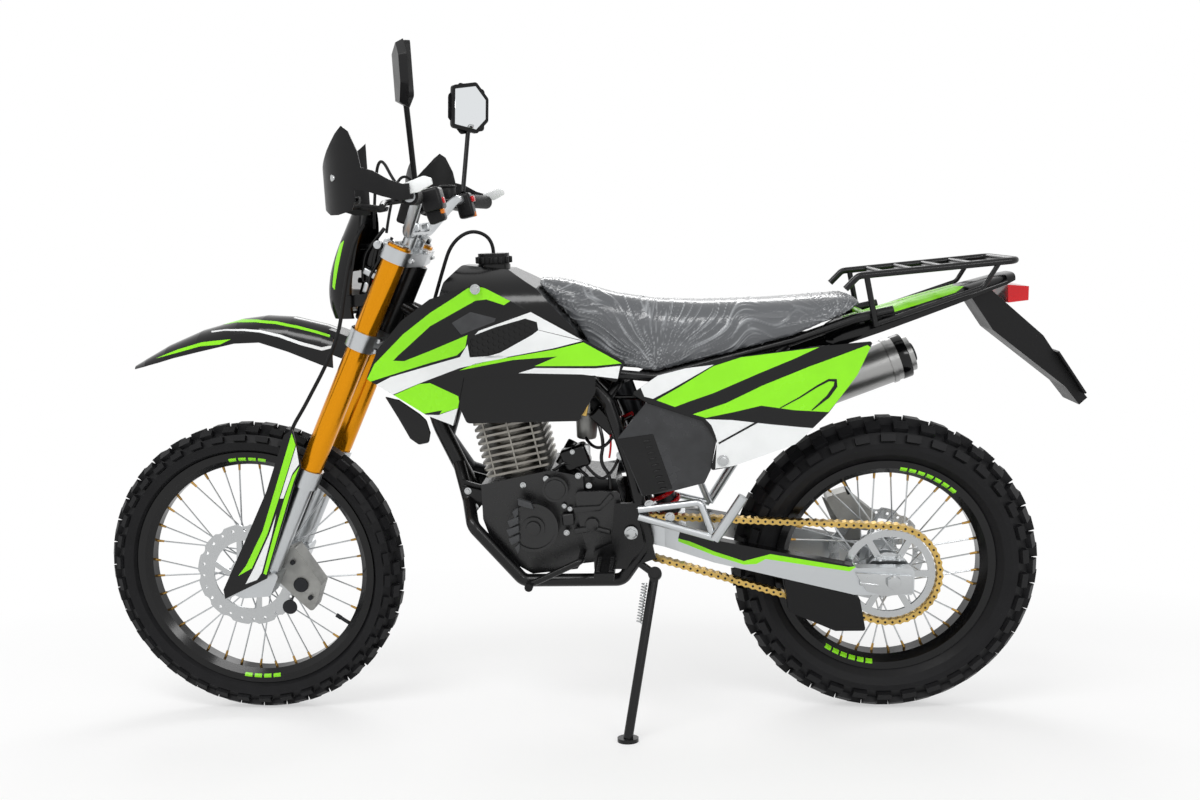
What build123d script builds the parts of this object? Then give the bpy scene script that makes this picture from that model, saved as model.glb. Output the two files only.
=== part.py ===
"""Trail motorcycle, built upright with X forward, Y to its left and Z up, then leaned on its side stand."""

import os
from math import asin, atan2, cos, pi, radians, sin, tan

from build123d import *

os.makedirs("parts", exist_ok=True)

# Whole machine, in millimetres and degrees
wheelbase = 1440.0
front_axle_x = 720.0
lean = 11.0
park_shift_x = 35.0
park_shift_y = -224.0
seat_clearance = 0.3
pin_clearance = 0.4
running_clearance = 5.0

# Wheels: tyre, rim, hub and brake disc
front_tyre_radius = 345.4
front_tyre_width = 86.0
front_bead_radius = 266.7
front_rim_width = 50.0
rear_tyre_radius = 336.4
rear_tyre_width = 114.0
rear_bead_radius = 228.6
rear_rim_width = 66.0
tread_drop_share = 0.335
front_lug_height = 11.0
rear_lug_height = 13.0
front_lugs_round = 38
rear_lugs_round = 34
lug_length_share = 0.5
centre_lug_share = 0.15
rim_flange_height = 13.8
rim_flange_wall = 4.0
rim_well_depth = 10.5
rim_floor = 6.0
spoke_radius = 1.8
spokes_per_side = 18
front_hub_radius = 21.0
front_hub_flange_radius = 31.0
front_hub_half_width = 36.0
rear_hub_radius = 29.0
rear_hub_flange_radius = 42.0
rear_hub_half_width = 40.0
axle_radius = 9.0
front_disc_radius = 120.0
front_disc_inner = 92.0
front_disc_y = 58.0
rear_disc_radius = 110.0
rear_disc_inner = 84.0
rear_disc_y = -62.0
disc_thickness = 3.5
disc_waves = 12
disc_holes = 24

# Chain drive
chain_pitch = 15.875
chain_y = 77.0
chain_plate_height = 15.0
chain_waist = 9.6
chain_width = 18.0
rear_teeth = 43
front_teeth = 13
sprocket_thickness = 6.0
front_sprocket_x = -105.0
front_sprocket_z = 452.0

# Steering and fork
rake = 26.0
axle_lead = 51.0
stem_offset = 22.0
fork_half_spacing = 103.0
fork_tube_radius = 25.0
fork_stanchion_radius = 21.5
fork_tube_low = 314.0
fork_tube_high = 842.0
lower_clamp_at = 624.0
lower_clamp_height = 40.0
upper_clamp_at = 822.0
upper_clamp_height = 30.0
clamp_wall = 6.0
head_tube_radius = 29.0
stem_radius = 13.0
fork_lug_half = 24.0
fork_guard_out = 40.0
fork_guard_depth = 52.0
fork_collar_radius = 29.0
fork_collar_height = 42.0
steering_lock = 42.0

# Frame
frame_tube_radius = 14.0
frame_bend = 26.0
downtube_radius = 17.5
cradle_half_width = 104.0
cradle_height = 344.0
pivot_x = -168.0
pivot_z = 451.0
pivot_plate_y = 118.0
pivot_plate_wall = 6.0
pivot_bolt_radius = 8.0
subframe_radius = 10.0

# Swingarm
arm_outer_y = 118.0
arm_inner_y = 92.0

# Side stand
stand_pivot_x = -212.0
stand_pivot_y = 133.0
stand_pivot_z = 366.0
stand_tilt = 24.4
stand_foot_x = -150.0
stand_foot_y = 276.0
stand_leg_radius = 10.0
stand_pad_radius = 22.0
stand_pad_height = 8.0
stand_travel = 94.0
stand_eye_radius = 15.0
stand_pin_radius = 6.0

# Silencer
silencer_radius = 50.0

# Handlebar
bar_radius = 11.0
bar_half_width = 395.0
grip_radius = 16.5

# Rear rack and number plate
rack_half_width = 100.3
plate_arm_half = 45.0
plate_half_width = 68.0
plate_wall = 4.0
plate_hole_radius = 3.2
plate_hole_spacing = 112.0

# Bodywork thicknesses and half widths
panel_wall = 4.0
tank_half_width = 136.0
tunnel_half_width = 100.0
vent_pitch = 13.0
vent_bar = 3.0
vent_wall = 2.5


def axle_height(width, radius):
    """Return the upright height at which the leaned tyre's centre lug just meets the ground."""
    return radius + centre_lug_share * width * tan(radians(lean))


front_axle = Vector(front_axle_x, 0, axle_height(front_tyre_width, front_tyre_radius))
rear_axle_at = Vector(front_axle_x - wheelbase, 0, axle_height(rear_tyre_width, rear_tyre_radius))
fork_up = Vector(-sin(radians(rake)), 0, cos(radians(rake)))
fork_forward = Vector(cos(radians(rake)), 0, sin(radians(rake)))
fork_foot = front_axle - fork_forward * axle_lead
stand_pivot = Vector(stand_pivot_x, stand_pivot_y, stand_pivot_z)
stand_hinge = Vector(0, cos(radians(stand_tilt)), sin(radians(stand_tilt)))
parked = Location((park_shift_x, park_shift_y, 0), (-lean, 0, 0))


def on_fork(distance, forward=0.0, left=0.0):
    """Return a point at a distance up the fork, moved forward and to the left of the leg axis."""
    return fork_foot + fork_up * distance + fork_forward * forward + Vector(0, left, 0)


def fork_plane(distance, forward=0.0, left=0.0):
    """Return the plane square to the fork at a point on it, with its local x forward."""
    return Plane(origin=on_fork(distance, forward, left), x_dir=fork_forward, z_dir=fork_up)


def ahead(x, z):
    """Return a point of the side view, from its distance ahead of the front axle and its height."""
    return (front_axle.X + x, z)


def behind(x, z):
    """Return a point of the side view, from its distances ahead of and above the rear axle."""
    return (rear_axle_at.X + x, rear_axle_at.Z + z)


def side(y):
    """Return the plane along the machine at y, with local x forward and local y up, facing right."""
    return Plane.XZ.offset(-y)


def wheel_plane(centre):
    """Return the plane across the machine through a wheel's centre: local x left, local y up."""
    return Plane(origin=centre, x_dir=(0, 1, 0), z_dir=(1, 0, 0))


def tube(points, radius, bend=None, mode=Mode.ADD):
    """Sweep a round bar along points in the open part, its corners bent to a radius."""
    with BuildLine() as path:
        if bend is None:
            Polyline(*points)
        else:
            FilletPolyline(*points, radius=bend)
    with BuildSketch(path.line ^ 0) as section:
        Circle(radius)
    sweep(sections=section.sketch, path=path.line, mode=mode)


def rod(start, end, radius, mode=Mode.ADD):
    """Add a straight round bar between two points to the open part."""
    start = Vector(*start)
    end = Vector(*end)
    with BuildSketch(Plane(origin=start, z_dir=end - start)) as section:
        Circle(radius)
    extrude(section.sketch, amount=(end - start).length, mode=mode)


def slab(points, y_left, y_right, mode=Mode.ADD, corner=0.0):
    """Extrude a side outline between two values of y in the open part."""
    with BuildSketch(side(y_left)) as outline:
        with BuildLine():
            Polyline(*points, close=True)
        make_face()
        if corner:
            fillet(outline.vertices(), radius=corner)
    extrude(outline.sketch, amount=y_left - y_right, mode=mode)


def ring(centre, outer, inner, y_left, y_right, mode=Mode.ADD):
    """Add a disc or a ring about a wheel's axis between two values of y to the open part."""
    with BuildSketch(side(y_left)) as outline:
        with Locations((centre.X, centre.Z)):
            Circle(outer)
            if inner:
                Circle(inner, mode=Mode.SUBTRACT)
    extrude(outline.sketch, amount=y_left - y_right, mode=mode)


def arch(half, low, high, square, wall=0.0):
    """Return the points of an arched section from right to left, set in by a wall."""
    points = []
    for step in range(9):
        turn = pi * (8 - step) / 8
        reach = (half - wall) * abs(cos(turn)) ** (2 / square)
        rise = (high - low - wall) * abs(sin(turn)) ** (2 / square)
        points.append((reach if cos(turn) > 0 else -reach, low + rise))
    return points


def body_section(x, half, low, high, square):
    """Draw one closed cross-section of a rounded body, on a plane square to X."""
    with BuildSketch(Plane(origin=(x, 0, 0), x_dir=(0, 1, 0), z_dir=(1, 0, 0))) as section:
        with BuildLine():
            edge = arch(half, low, high, square)
            Spline(*edge)
            Line(edge[-1], edge[0])
        make_face()
    return section.sketch


def skin_section(x, half, low, high, square, wall):
    """Draw one arched cross-section of a thin shell, open below, on a plane square to X."""
    with BuildSketch(Plane(origin=(x, 0, 0), x_dir=(0, 1, 0), z_dir=(1, 0, 0))) as section:
        with BuildLine():
            outer = arch(half, low, high, square)
            inner = arch(half, low, high, square, wall)
            Spline(*outer)
            Line(outer[-1], inner[-1])
            Spline(*reversed(inner))
            Line(inner[0], outer[0])
        make_face()
    return section.sketch


def strip(points, wall, smooth=True):
    """Draw a wall's path in plan view, thickened outward from the middle plane."""
    outer = []
    for number, (x, y) in enumerate(points):
        before = points[max(number - 1, 0)]
        after = points[min(number + 1, len(points) - 1)]
        square = Vector(before[1] - after[1], after[0] - before[0]).normalized()
        if square.X + square.Y * y / abs(y) < 0:
            square = -square
        outer.append((x + square.X * wall, y + square.Y * wall))
    with BuildSketch(Plane.XY) as plan:
        with BuildLine():
            if smooth:
                Spline(*points)
                Line(points[-1], outer[-1])
                Spline(*reversed(outer))
                Line(outer[0], points[0])
            else:
                Polyline(*points, *reversed(outer), close=True)
        make_face()
    return plan.sketch


def tread_point(width, radius, angle):
    """Return the place across and out from the wheel's centre of a point on the arc over the lugs."""
    drop = tread_drop_share * width
    crown = ((width / 2) ** 2 + drop**2) / (2 * drop)
    return crown * sin(radians(angle)), radius - crown + crown * cos(radians(angle))


def lug_planes(centre, width, radius, angle, count, phase):
    """Return the planes on which one row of lugs stands, spaced round a tyre."""
    across, out = tread_point(width, radius, angle)
    planes = []
    for number in range(count):
        turn = radians(360 * (number + phase) / count - 90)
        outward = Vector(cos(turn), 0, sin(turn))
        square = outward * cos(radians(angle)) + Vector(0, sin(radians(angle)), 0)
        along = Vector(-sin(turn), 0, cos(turn))
        planes.append(Plane(origin=centre + outward * out + Vector(0, across, 0), x_dir=along, z_dir=square))
    return planes


def tyre(centre, width, radius, bead_radius, rim_width, lug_height, lugs_round):
    """Revolve a tyre's casing about its wheel's axis and stand its three rows of lugs on it."""
    bead = rim_width / 2 - rim_flange_wall - seat_clearance
    base = bead_radius + seat_clearance
    flange = bead_radius + rim_flange_height + seat_clearance
    half = width / 2 - lug_height * 0.5
    tread = [tread_point(width - lug_height, radius - lug_height, angle) for angle in (72, 45, 15)]
    waist = (flange + tread[0][1]) / 2
    with BuildSketch(wheel_plane(centre)) as profile:
        with BuildLine():
            Polyline(
                (0, base),
                (bead, base),
                (bead, flange),
                (half * 0.86, waist - 6),
                (half, waist + 10),
                *tread,
                (0, tread[2][1]),
                close=True,
            )
        make_face()
        mirror(about=Plane.YZ)
    revolve(profile.sketch, axis=Axis(centre, (0, 1, 0)))
    pitch = 2 * pi * radius / lugs_round
    length = pitch * lug_length_share
    deep = lug_height + 5
    with Locations(lug_planes(centre, width, radius, 0, lugs_round, 0)):
        Box(length, 2 * centre_lug_share * width, deep, align=(Align.CENTER, Align.CENTER, Align.MAX))
    for left in (1, -1):
        with Locations(lug_planes(centre, width, radius, left * 36, lugs_round, 0.5)):
            Box(length, width * 0.2, deep, align=(Align.CENTER, Align.CENTER, Align.MAX))
        with Locations(lug_planes(centre, width, radius, left * 66, lugs_round, 0)):
            Box(length, width * 0.14, deep, align=(Align.CENTER, Align.CENTER, Align.MAX))


def rim(centre, bead_radius, rim_width):
    """Revolve a rim about its wheel's axis in the open part."""
    half = rim_width / 2
    flange = bead_radius + rim_flange_height
    well = bead_radius - rim_well_depth
    floor = well - rim_floor
    with BuildSketch(wheel_plane(centre)) as profile:
        with BuildLine():
            Polyline(
                (half, flange),
                (half - rim_flange_wall, flange),
                (half - rim_flange_wall, bead_radius),
                (half * 0.6, bead_radius),
                (half * 0.45, well),
                (0, well),
                (0, floor),
                (half * 0.5, floor),
                (half, bead_radius - rim_floor / 2),
                close=True,
            )
        make_face()
        mirror(about=Plane.YZ)
    revolve(profile.sketch, axis=Axis(centre, (0, 1, 0)))


def rim_floor_radius(bead_radius):
    """Return the radius of a rim's inner face, where its spokes end."""
    return bead_radius - rim_well_depth - rim_floor


def spoke_lines(centre, hub_radius, hub_half, rim_radius):
    """Return the two ends of each spoke of a wheel, laced from both flanges."""
    lines = []
    step = 360 / spokes_per_side
    for flange in (-1, 1):
        for number in range(spokes_per_side):
            rim_angle = radians(step * (number + 0.25 * flange))
            lace = radians(62 if number % 2 else -62)
            inner = Vector(
                hub_radius * cos(rim_angle + lace), flange * hub_half, hub_radius * sin(rim_angle + lace)
            )
            outer = Vector(rim_radius * cos(rim_angle), flange * 4, rim_radius * sin(rim_angle))
            lines.append((centre + inner, centre + outer))
    return lines


def hub(centre, barrel, flange_radius, half_width, bead_radius, left_end, right_end):
    """Add a hub with its spokes, which end just inside the rim, to the open part."""
    floor = rim_floor_radius(bead_radius) - seat_clearance
    spokes = []
    for start, end in spoke_lines(centre, flange_radius - 5, half_width - 3, floor - spoke_radius / 3):
        with BuildPart() as spoke:
            with BuildSketch(Plane(origin=start, z_dir=end - start)):
                RegularPolygon(spoke_radius, 6)
            extrude(amount=(end - start).length)
        spokes.append(spoke.part)
    ring(centre, barrel, 0, half_width, -half_width)
    for y in (half_width, -half_width + 6):
        ring(centre, flange_radius, 0, y, y - 6)
    ring(centre, barrel * 0.8, 0, left_end, right_end)
    ring(centre, axle_radius + pin_clearance, 0, 120, -120, mode=Mode.SUBTRACT)
    add(spokes)


# Front wheel
with BuildPart() as front_tyre:
    tyre(
        front_axle,
        front_tyre_width,
        front_tyre_radius,
        front_bead_radius,
        front_rim_width,
        front_lug_height,
        front_lugs_round,
    )

with BuildPart() as front_rim:
    rim(front_axle, front_bead_radius, front_rim_width)

with BuildPart() as front_hub:
    hub(
        front_axle,
        front_hub_radius,
        front_hub_flange_radius,
        front_hub_half_width,
        front_bead_radius,
        front_disc_y - disc_thickness / 2 - seat_clearance,
        -58,
    )

with BuildPart() as front_disc:
    left = front_disc_y + disc_thickness / 2
    right = front_disc_y - disc_thickness / 2
    ring(front_axle, front_disc_radius, front_disc_inner, left, right)
    ring(front_axle, front_disc_inner + 6, front_disc_inner - 10, left, right)
    ring(front_axle, 44, axle_radius + pin_clearance, left, right)
    for turn in range(6):
        angle = radians(60 * turn)
        inner = front_axle + Vector(40 * cos(angle), 0, 40 * sin(angle))
        outer = front_axle + Vector(88 * cos(angle + 0.35), 0, 88 * sin(angle + 0.35))
        with BuildSketch(side(left)) as arm:
            with BuildLine():
                Line((inner.X, inner.Z), (outer.X, outer.Z))
            trace(line_width=12)
        extrude(arm.sketch, amount=disc_thickness)
    with BuildSketch(side(left)) as cuts:
        with Locations((front_axle.X, front_axle.Z)):
            with PolarLocations(front_disc_radius + 13, disc_waves):
                Circle(18)
            with PolarLocations((front_disc_radius + front_disc_inner) / 2 + 1, disc_holes):
                RegularPolygon(3.6, 6)
    extrude(cuts.sketch, amount=disc_thickness, mode=Mode.SUBTRACT)

# Rear wheel
with BuildPart() as rear_tyre:
    tyre(
        rear_axle_at,
        rear_tyre_width,
        rear_tyre_radius,
        rear_bead_radius,
        rear_rim_width,
        rear_lug_height,
        rear_lugs_round,
    )

with BuildPart() as rear_rim:
    rim(rear_axle_at, rear_bead_radius, rear_rim_width)

sprocket_left = chain_y + sprocket_thickness / 2
sprocket_right = chain_y - sprocket_thickness / 2
rear_pitch_radius = chain_pitch / 2 / sin(pi / rear_teeth)
front_pitch_radius = chain_pitch / 2 / sin(pi / front_teeth)

with BuildPart() as rear_hub:
    hub(
        rear_axle_at,
        rear_hub_radius,
        rear_hub_flange_radius,
        rear_hub_half_width,
        rear_bead_radius,
        sprocket_right - seat_clearance,
        rear_disc_y + disc_thickness / 2 + seat_clearance,
    )

with BuildPart() as rear_disc:
    left = rear_disc_y + disc_thickness / 2
    right = rear_disc_y - disc_thickness / 2
    ring(rear_axle_at, rear_disc_radius, rear_disc_inner, left, right)
    ring(rear_axle_at, 50, axle_radius + pin_clearance, left, right)
    for turn in range(5):
        angle = radians(72 * turn)
        inner = rear_axle_at + Vector(45 * cos(angle), 0, 45 * sin(angle))
        outer = rear_axle_at + Vector(90 * cos(angle + 0.3), 0, 90 * sin(angle + 0.3))
        with BuildSketch(side(left)) as arm:
            with BuildLine():
                Line((inner.X, inner.Z), (outer.X, outer.Z))
            trace(line_width=14)
        extrude(arm.sketch, amount=disc_thickness)
    with BuildSketch(side(left)) as cuts:
        with Locations((rear_axle_at.X, rear_axle_at.Z)):
            with PolarLocations(rear_disc_radius + 13, disc_waves):
                Circle(18)
            with PolarLocations((rear_disc_radius + rear_disc_inner) / 2 + 1, disc_holes):
                RegularPolygon(3.6, 6)
    extrude(cuts.sketch, amount=disc_thickness, mode=Mode.SUBTRACT)

with BuildPart() as rear_sprocket:
    ring(
        rear_axle_at,
        rear_pitch_radius - chain_plate_height / 2 - 1.5,
        rear_pitch_radius - 24,
        sprocket_left,
        sprocket_right,
    )
    ring(rear_axle_at, 48, axle_radius + pin_clearance, sprocket_left, sprocket_right)
    for turn in range(6):
        angle = radians(60 * turn)
        inner = rear_axle_at + Vector(42 * cos(angle), 0, 42 * sin(angle))
        outer = rear_axle_at + Vector(90 * cos(angle), 0, 90 * sin(angle))
        with BuildSketch(side(sprocket_left)) as arm:
            with BuildLine():
                Line((inner.X, inner.Z), (outer.X, outer.Z))
            trace(line_width=14)
        extrude(arm.sketch, amount=sprocket_thickness)

# Chain and front sprocket
with BuildPart() as front_sprocket:
    centre = Vector(front_sprocket_x, 0, front_sprocket_z)
    ring(centre, front_pitch_radius - chain_plate_height / 2 - seat_clearance, 0, sprocket_left, sprocket_right)
    ring(centre, 13, 0, sprocket_left + 8, 61)


def chain_pins():
    """Return the chain's pins in order round both sprockets, with the outward direction at each."""
    front = Vector(front_sprocket_x, front_sprocket_z)
    rear = Vector(rear_axle_at.X, rear_axle_at.Z)
    run = rear - front
    spread = asin((rear_pitch_radius - front_pitch_radius) / run.length)
    straight = run.length * cos(spread)
    base = atan2(run.Y, run.X)
    front_wrap = front_pitch_radius * (pi - 2 * spread)
    rear_wrap = rear_pitch_radius * (pi + 2 * spread)
    total = 2 * straight + front_wrap + rear_wrap
    count = 2 * round(total / chain_pitch / 2)
    pins = []
    for number in range(count):
        way = total * number / count
        if way < straight:
            turn = base - pi / 2 - spread
            outward = Vector(cos(turn), sin(turn))
            along = Vector(-sin(turn), cos(turn))
            pins.append((front + outward * front_pitch_radius + along * way, outward))
            continue
        way -= straight
        if way < rear_wrap:
            turn = base - pi / 2 - spread + way / rear_pitch_radius
            outward = Vector(cos(turn), sin(turn))
            pins.append((rear + outward * rear_pitch_radius, outward))
            continue
        way -= rear_wrap
        turn = base + pi / 2 + spread
        outward = Vector(cos(turn), sin(turn))
        along = Vector(-sin(turn), cos(turn))
        if way < straight:
            pins.append((rear + outward * rear_pitch_radius + along * way, outward))
            continue
        turn += (way - straight) / front_pitch_radius
        outward = Vector(cos(turn), sin(turn))
        pins.append((front + outward * front_pitch_radius, outward))
    return pins


def chain_edge(way):
    """Return the waisted outline of the chain's link plates on its outer or its inner side."""
    pins = chain_pins()
    points = []
    for number, (pin, outward) in enumerate(pins):
        next_pin, next_outward = pins[(number + 1) % len(pins)]
        points.append(pin + outward * way * chain_plate_height / 2)
        middle = (pin + next_pin) * 0.5
        points.append(middle + (outward + next_outward).normalized() * way * chain_waist / 2)
    return [(point.X, point.Y) for point in points]


with BuildPart() as chain:
    with BuildSketch(side(chain_y + chain_width / 2)) as outline:
        with BuildLine():
            Polyline(*chain_edge(1), close=True)
        make_face()
        with BuildLine():
            Polyline(*chain_edge(-1), close=True)
        make_face(mode=Mode.SUBTRACT)
    extrude(outline.sketch, amount=chain_width)

# Steering: clamps, tubes, legs, axle
with BuildPart() as fork_clamps:
    for distance, height in ((lower_clamp_at, lower_clamp_height), (upper_clamp_at, upper_clamp_height)):
        with BuildSketch(fork_plane(distance - height / 2)) as clamp:
            with Locations((0, fork_half_spacing), (0, -fork_half_spacing)):
                Circle(fork_tube_radius + clamp_wall)
            with Locations((-stem_offset, 0)):
                Circle(stem_radius + 7)
            make_hull()
        extrude(clamp.sketch, amount=height)
    for left in (fork_half_spacing, -fork_half_spacing):
        with BuildSketch(fork_plane(lower_clamp_at - 60, 0, left)) as bore:
            Circle(fork_tube_radius + seat_clearance)
        extrude(bore.sketch, amount=300, mode=Mode.SUBTRACT)
    with BuildSketch(fork_plane(lower_clamp_at - lower_clamp_height / 2, -stem_offset)) as stem:
        Circle(stem_radius)
    extrude(stem.sketch, amount=upper_clamp_at + upper_clamp_height / 2 - lower_clamp_at + 24)

with BuildPart() as fork_tubes:
    for left in (fork_half_spacing, -fork_half_spacing):
        with BuildSketch(fork_plane(fork_tube_low, 0, left)) as section:
            Circle(fork_tube_radius)
        extrude(section.sketch, amount=fork_tube_high - fork_tube_low)

with BuildPart() as fork_legs:
    for left in (fork_half_spacing, -fork_half_spacing):
        with BuildSketch(fork_plane(40, 0, left)) as section:
            Circle(fork_stanchion_radius)
        extrude(section.sketch, amount=fork_tube_low - 40 - seat_clearance)
        with BuildSketch(fork_plane(fork_tube_low - seat_clearance - fork_collar_height, 0, left)) as collar:
            Circle(fork_collar_radius)
        extrude(collar.sketch, amount=fork_collar_height)
        slab(
            [
                (on_fork(62, -27).X, on_fork(62, -27).Z),
                (on_fork(62, 27).X, on_fork(62, 27).Z),
                (on_fork(22, axle_lead + 22).X, on_fork(22, axle_lead + 22).Z),
                (on_fork(-24, axle_lead + 22).X, on_fork(-24, axle_lead + 22).Z),
                (on_fork(-24, axle_lead - 22).X, on_fork(-24, axle_lead - 22).Z),
                (on_fork(8, -27).X, on_fork(8, -27).Z),
            ],
            left + fork_lug_half,
            left - fork_lug_half,
            corner=8,
        )
    rod(
        (front_axle.X, 140, front_axle.Z),
        (front_axle.X, -140, front_axle.Z),
        axle_radius + seat_clearance,
        mode=Mode.SUBTRACT,
    )

with BuildPart() as front_axle_pin:
    outer = fork_half_spacing + fork_lug_half
    rod((front_axle.X, outer + 8, front_axle.Z), (front_axle.X, -outer - 8, front_axle.Z), axle_radius)
    ring(front_axle, 15, 0, outer + 8, outer + seat_clearance)
    ring(front_axle, 15, 0, -outer - seat_clearance, -outer - 8)

guard_outline = [(391, 59), (325, 12), (282, 12), (52, -9), (31, 8), (-33, 60), (-15, 71), (109, 66), (239, 62), (372, 71)]
guard_edge = [(372, 71), (239, 62), (109, 66), (48, 68), (48, 63), (109, 61), (239, 57), (369, 66)]
with BuildPart() as fork_guards:
    for left in (1, -1):
        outer = left * (fork_half_spacing + fork_guard_out)
        for outline, reach in ((guard_outline, panel_wall), (guard_edge, fork_guard_depth)):
            points = [on_fork(along, forward) for along, forward in outline]
            inner = outer - left * reach
            slab([(point.X, point.Z) for point in points], max(outer, inner), min(outer, inner))
        near = left * (fork_half_spacing + fork_lug_half + seat_clearance)
        rod(on_fork(40, 30, near), on_fork(40, 30, outer), 7)

with BuildPart() as front_fender:
    sections = []
    for x, half, low, high in (
        (240, 12, 824, 832),
        (205, 34, 832, 850),
        (150, 50, 847, 878),
        (70, 60, 864, 909),
        (-20, 65, 882, 931),
        (-77, 66, 883, 937),
        (-140, 66, 861, 932),
        (-212, 63, 829, 913),
        (-236, 61, 822, 903),
    ):
        sections.append(skin_section(front_axle.X + x, half, low, high, 2.2, panel_wall))
    loft(sections, ruled=True)
    under = lower_clamp_at - lower_clamp_height / 2 - seat_clearance
    corners = [on_fork(under, -15), on_fork(under, 40), on_fork(under - 14, 44), on_fork(under - 14, -15)]
    a, b, c, d = [(corner.X, corner.Z) for corner in corners]
    slab([a, b, ahead(-226, 905), ahead(-226, 886), c, d], 38, -38)

with BuildPart() as headlamp_mask:
    sections = []
    for x, half, height, deep in ((-296, 58, 1163, 26), (-270, 82, 1100, 46), (-245, 90, 1036, 58), (-241, 76, 930, 52)):
        with BuildSketch(Plane.XY.offset(height)) as section:
            with BuildLine():
                front = front_axle.X + x
                edge = [(front - deep, -half), (front - 8, -half * 0.72), (front, 0), (front - 8, half * 0.72), (front - deep, half)]
                back = [(px - panel_wall, py * (half - 3) / half) for px, py in edge]
                Spline(*edge)
                Line(edge[-1], back[-1])
                Spline(*reversed(back))
                Line(back[0], edge[0])
            make_face()
        sections.append(section.sketch)
    loft(sections)
    with BuildSketch(Plane(origin=(front_axle.X - 350, 0, 0), x_dir=(0, 1, 0), z_dir=(1, 0, 0))) as opening:
        with BuildLine():
            Polyline((-62, 1030), (62, 1030), (54, 962), (30, 944), (-30, 944), (-54, 962), close=True)
        make_face()
        fillet(opening.vertices(), radius=8)
    extrude(opening.sketch, amount=200, mode=Mode.SUBTRACT)
    for left in (1, -1):
        slab(
            [ahead(-335, 985), ahead(-335, 960), ahead(-288, 955), ahead(-288, 980)],
            max(left * 89, left * 82),
            min(left * 89, left * 82),
        )
        with BuildSketch(fork_plane(fork_tube_low, 0, left * fork_half_spacing)) as bore:
            Circle(fork_tube_radius + seat_clearance)
        extrude(bore.sketch, amount=fork_tube_high - fork_tube_low, mode=Mode.SUBTRACT)

with BuildPart() as headlamp:
    with BuildSketch(Plane(origin=(front_axle.X - 290, 0, 0), x_dir=(0, 1, 0), z_dir=(1, 0, 0))) as lens:
        with BuildLine():
            Polyline((-62, 1030), (62, 1030), (54, 962), (30, 944), (-30, 944), (-54, 962), close=True)
        make_face()
        fillet(lens.vertices(), radius=8)
        offset(amount=-seat_clearance)
    extrude(lens.sketch, amount=44)

bar_end = Vector(front_axle.X - 515, bar_half_width, 1176)
bar_knee = Vector(front_axle.X - 480, 180, 1180)
bar_foot = Vector(front_axle.X - 430, 95, 1108)
bar_left = [bar_end, bar_knee, bar_foot]
bar_path = [(x, y, z) for x, y, z in bar_left] + [(x, -y, z) for x, y, z in reversed(bar_left)]


def on_bar(inward, left=1):
    """Return a point on the handlebar's grip length, measured inward from its end."""
    place = bar_end + (bar_knee - bar_end).normalized() * inward
    return Vector(place.X, left * place.Y, place.Z)


with BuildPart() as handlebar:
    tube(bar_path, bar_radius, 38)
    for left in (45, -45):
        top = upper_clamp_at + upper_clamp_height / 2 + seat_clearance
        rod(on_fork(top, -2, left), on_fork(872, -2, left), 14)

with BuildPart() as grips:
    for left in (1, -1):
        rod(on_bar(0, left), on_bar(125, left), grip_radius)
        rod(on_bar(0, left), on_bar(125, left), bar_radius + seat_clearance, mode=Mode.SUBTRACT)

with BuildPart() as control_levers:
    for left in (1, -1):
        rod(on_bar(150, left), on_bar(176, left), 17)
        tube(
            [
                on_bar(160, left) + Vector(10, 0, -4),
                on_bar(135, left) + Vector(62, 0, -10),
                on_bar(8, left) + Vector(52, 0, -18),
            ],
            6,
            20,
        )
    tube(bar_path, bar_radius + seat_clearance, 38, mode=Mode.SUBTRACT)

guard_path = [(-385, 196), (-352, 250), (-341, 318), (-372, 378), (-430, 408), (-522, 414)]
with BuildPart() as handguards:
    for left in (1, -1):
        tube(
            [
                on_bar(-9, left),
                (front_axle.X - 462, left * (bar_half_width + 7), 1173),
                (front_axle.X - 352, left * 342, 1170),
                (front_axle.X - 365, left * 215, 1165),
                (front_axle.X - 458, left * 140, 1148),
            ],
            7,
            22,
        )
        with BuildPart(mode=Mode.PRIVATE) as shield:
            extrude(strip([(front_axle.X + x, left * y) for x, y in guard_path], panel_wall), amount=1400)
            with BuildPart(mode=Mode.INTERSECT):
                slab(
                    [ahead(-341, 1231), ahead(-397, 1306), ahead(-425, 1285), ahead(-529, 1206), ahead(-529, 1168)]
                    + [ahead(-440, 1146), ahead(-375, 1140), ahead(-330, 1165)],
                    left * 230 + 230,
                    left * 230 - 230,
                    corner=6,
                )
        add(shield.part)
        grip_end = -seat_clearance
        rod(on_bar(grip_end, left), on_bar(140, left), grip_radius + seat_clearance, mode=Mode.SUBTRACT)
        rod(on_bar(-16, left), on_bar(grip_end, left), 9)
    tube(bar_path, bar_radius + seat_clearance, 38, mode=Mode.SUBTRACT)

mirror_outline = [(-52, -46), (18, -60), (52, -30), (56, 24), (24, 62), (-44, 52)]
with BuildPart() as mirrors:
    for left, turn in ((1, 22), (-1, 48)):
        foot = on_bar(163, left) + Vector(0, 0, 19.2)
        head = Vector(front_axle.X - 498, left * 306, 1400)
        glass = Vector(-cos(radians(turn)), -left * sin(radians(turn)), 0)
        rod(foot, head - Vector(0, 0, 40), 5.5)
        with BuildSketch(Plane(origin=head, x_dir=Vector(0, 0, 1).cross(glass), z_dir=glass)) as shell:
            with BuildLine():
                Polyline(*mirror_outline, close=True)
            make_face()
            fillet(shell.vertices(), radius=9)
        extrude(shell.sketch, amount=9)
        with BuildSketch(Plane(origin=head, x_dir=Vector(0, 0, 1).cross(glass), z_dir=-glass)) as back:
            with BuildLine():
                Polyline(*[(-x, y) for x, y in mirror_outline], close=True)
            make_face()
            fillet(back.vertices(), radius=9)
        extrude(back.sketch, amount=14, taper=28)

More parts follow.
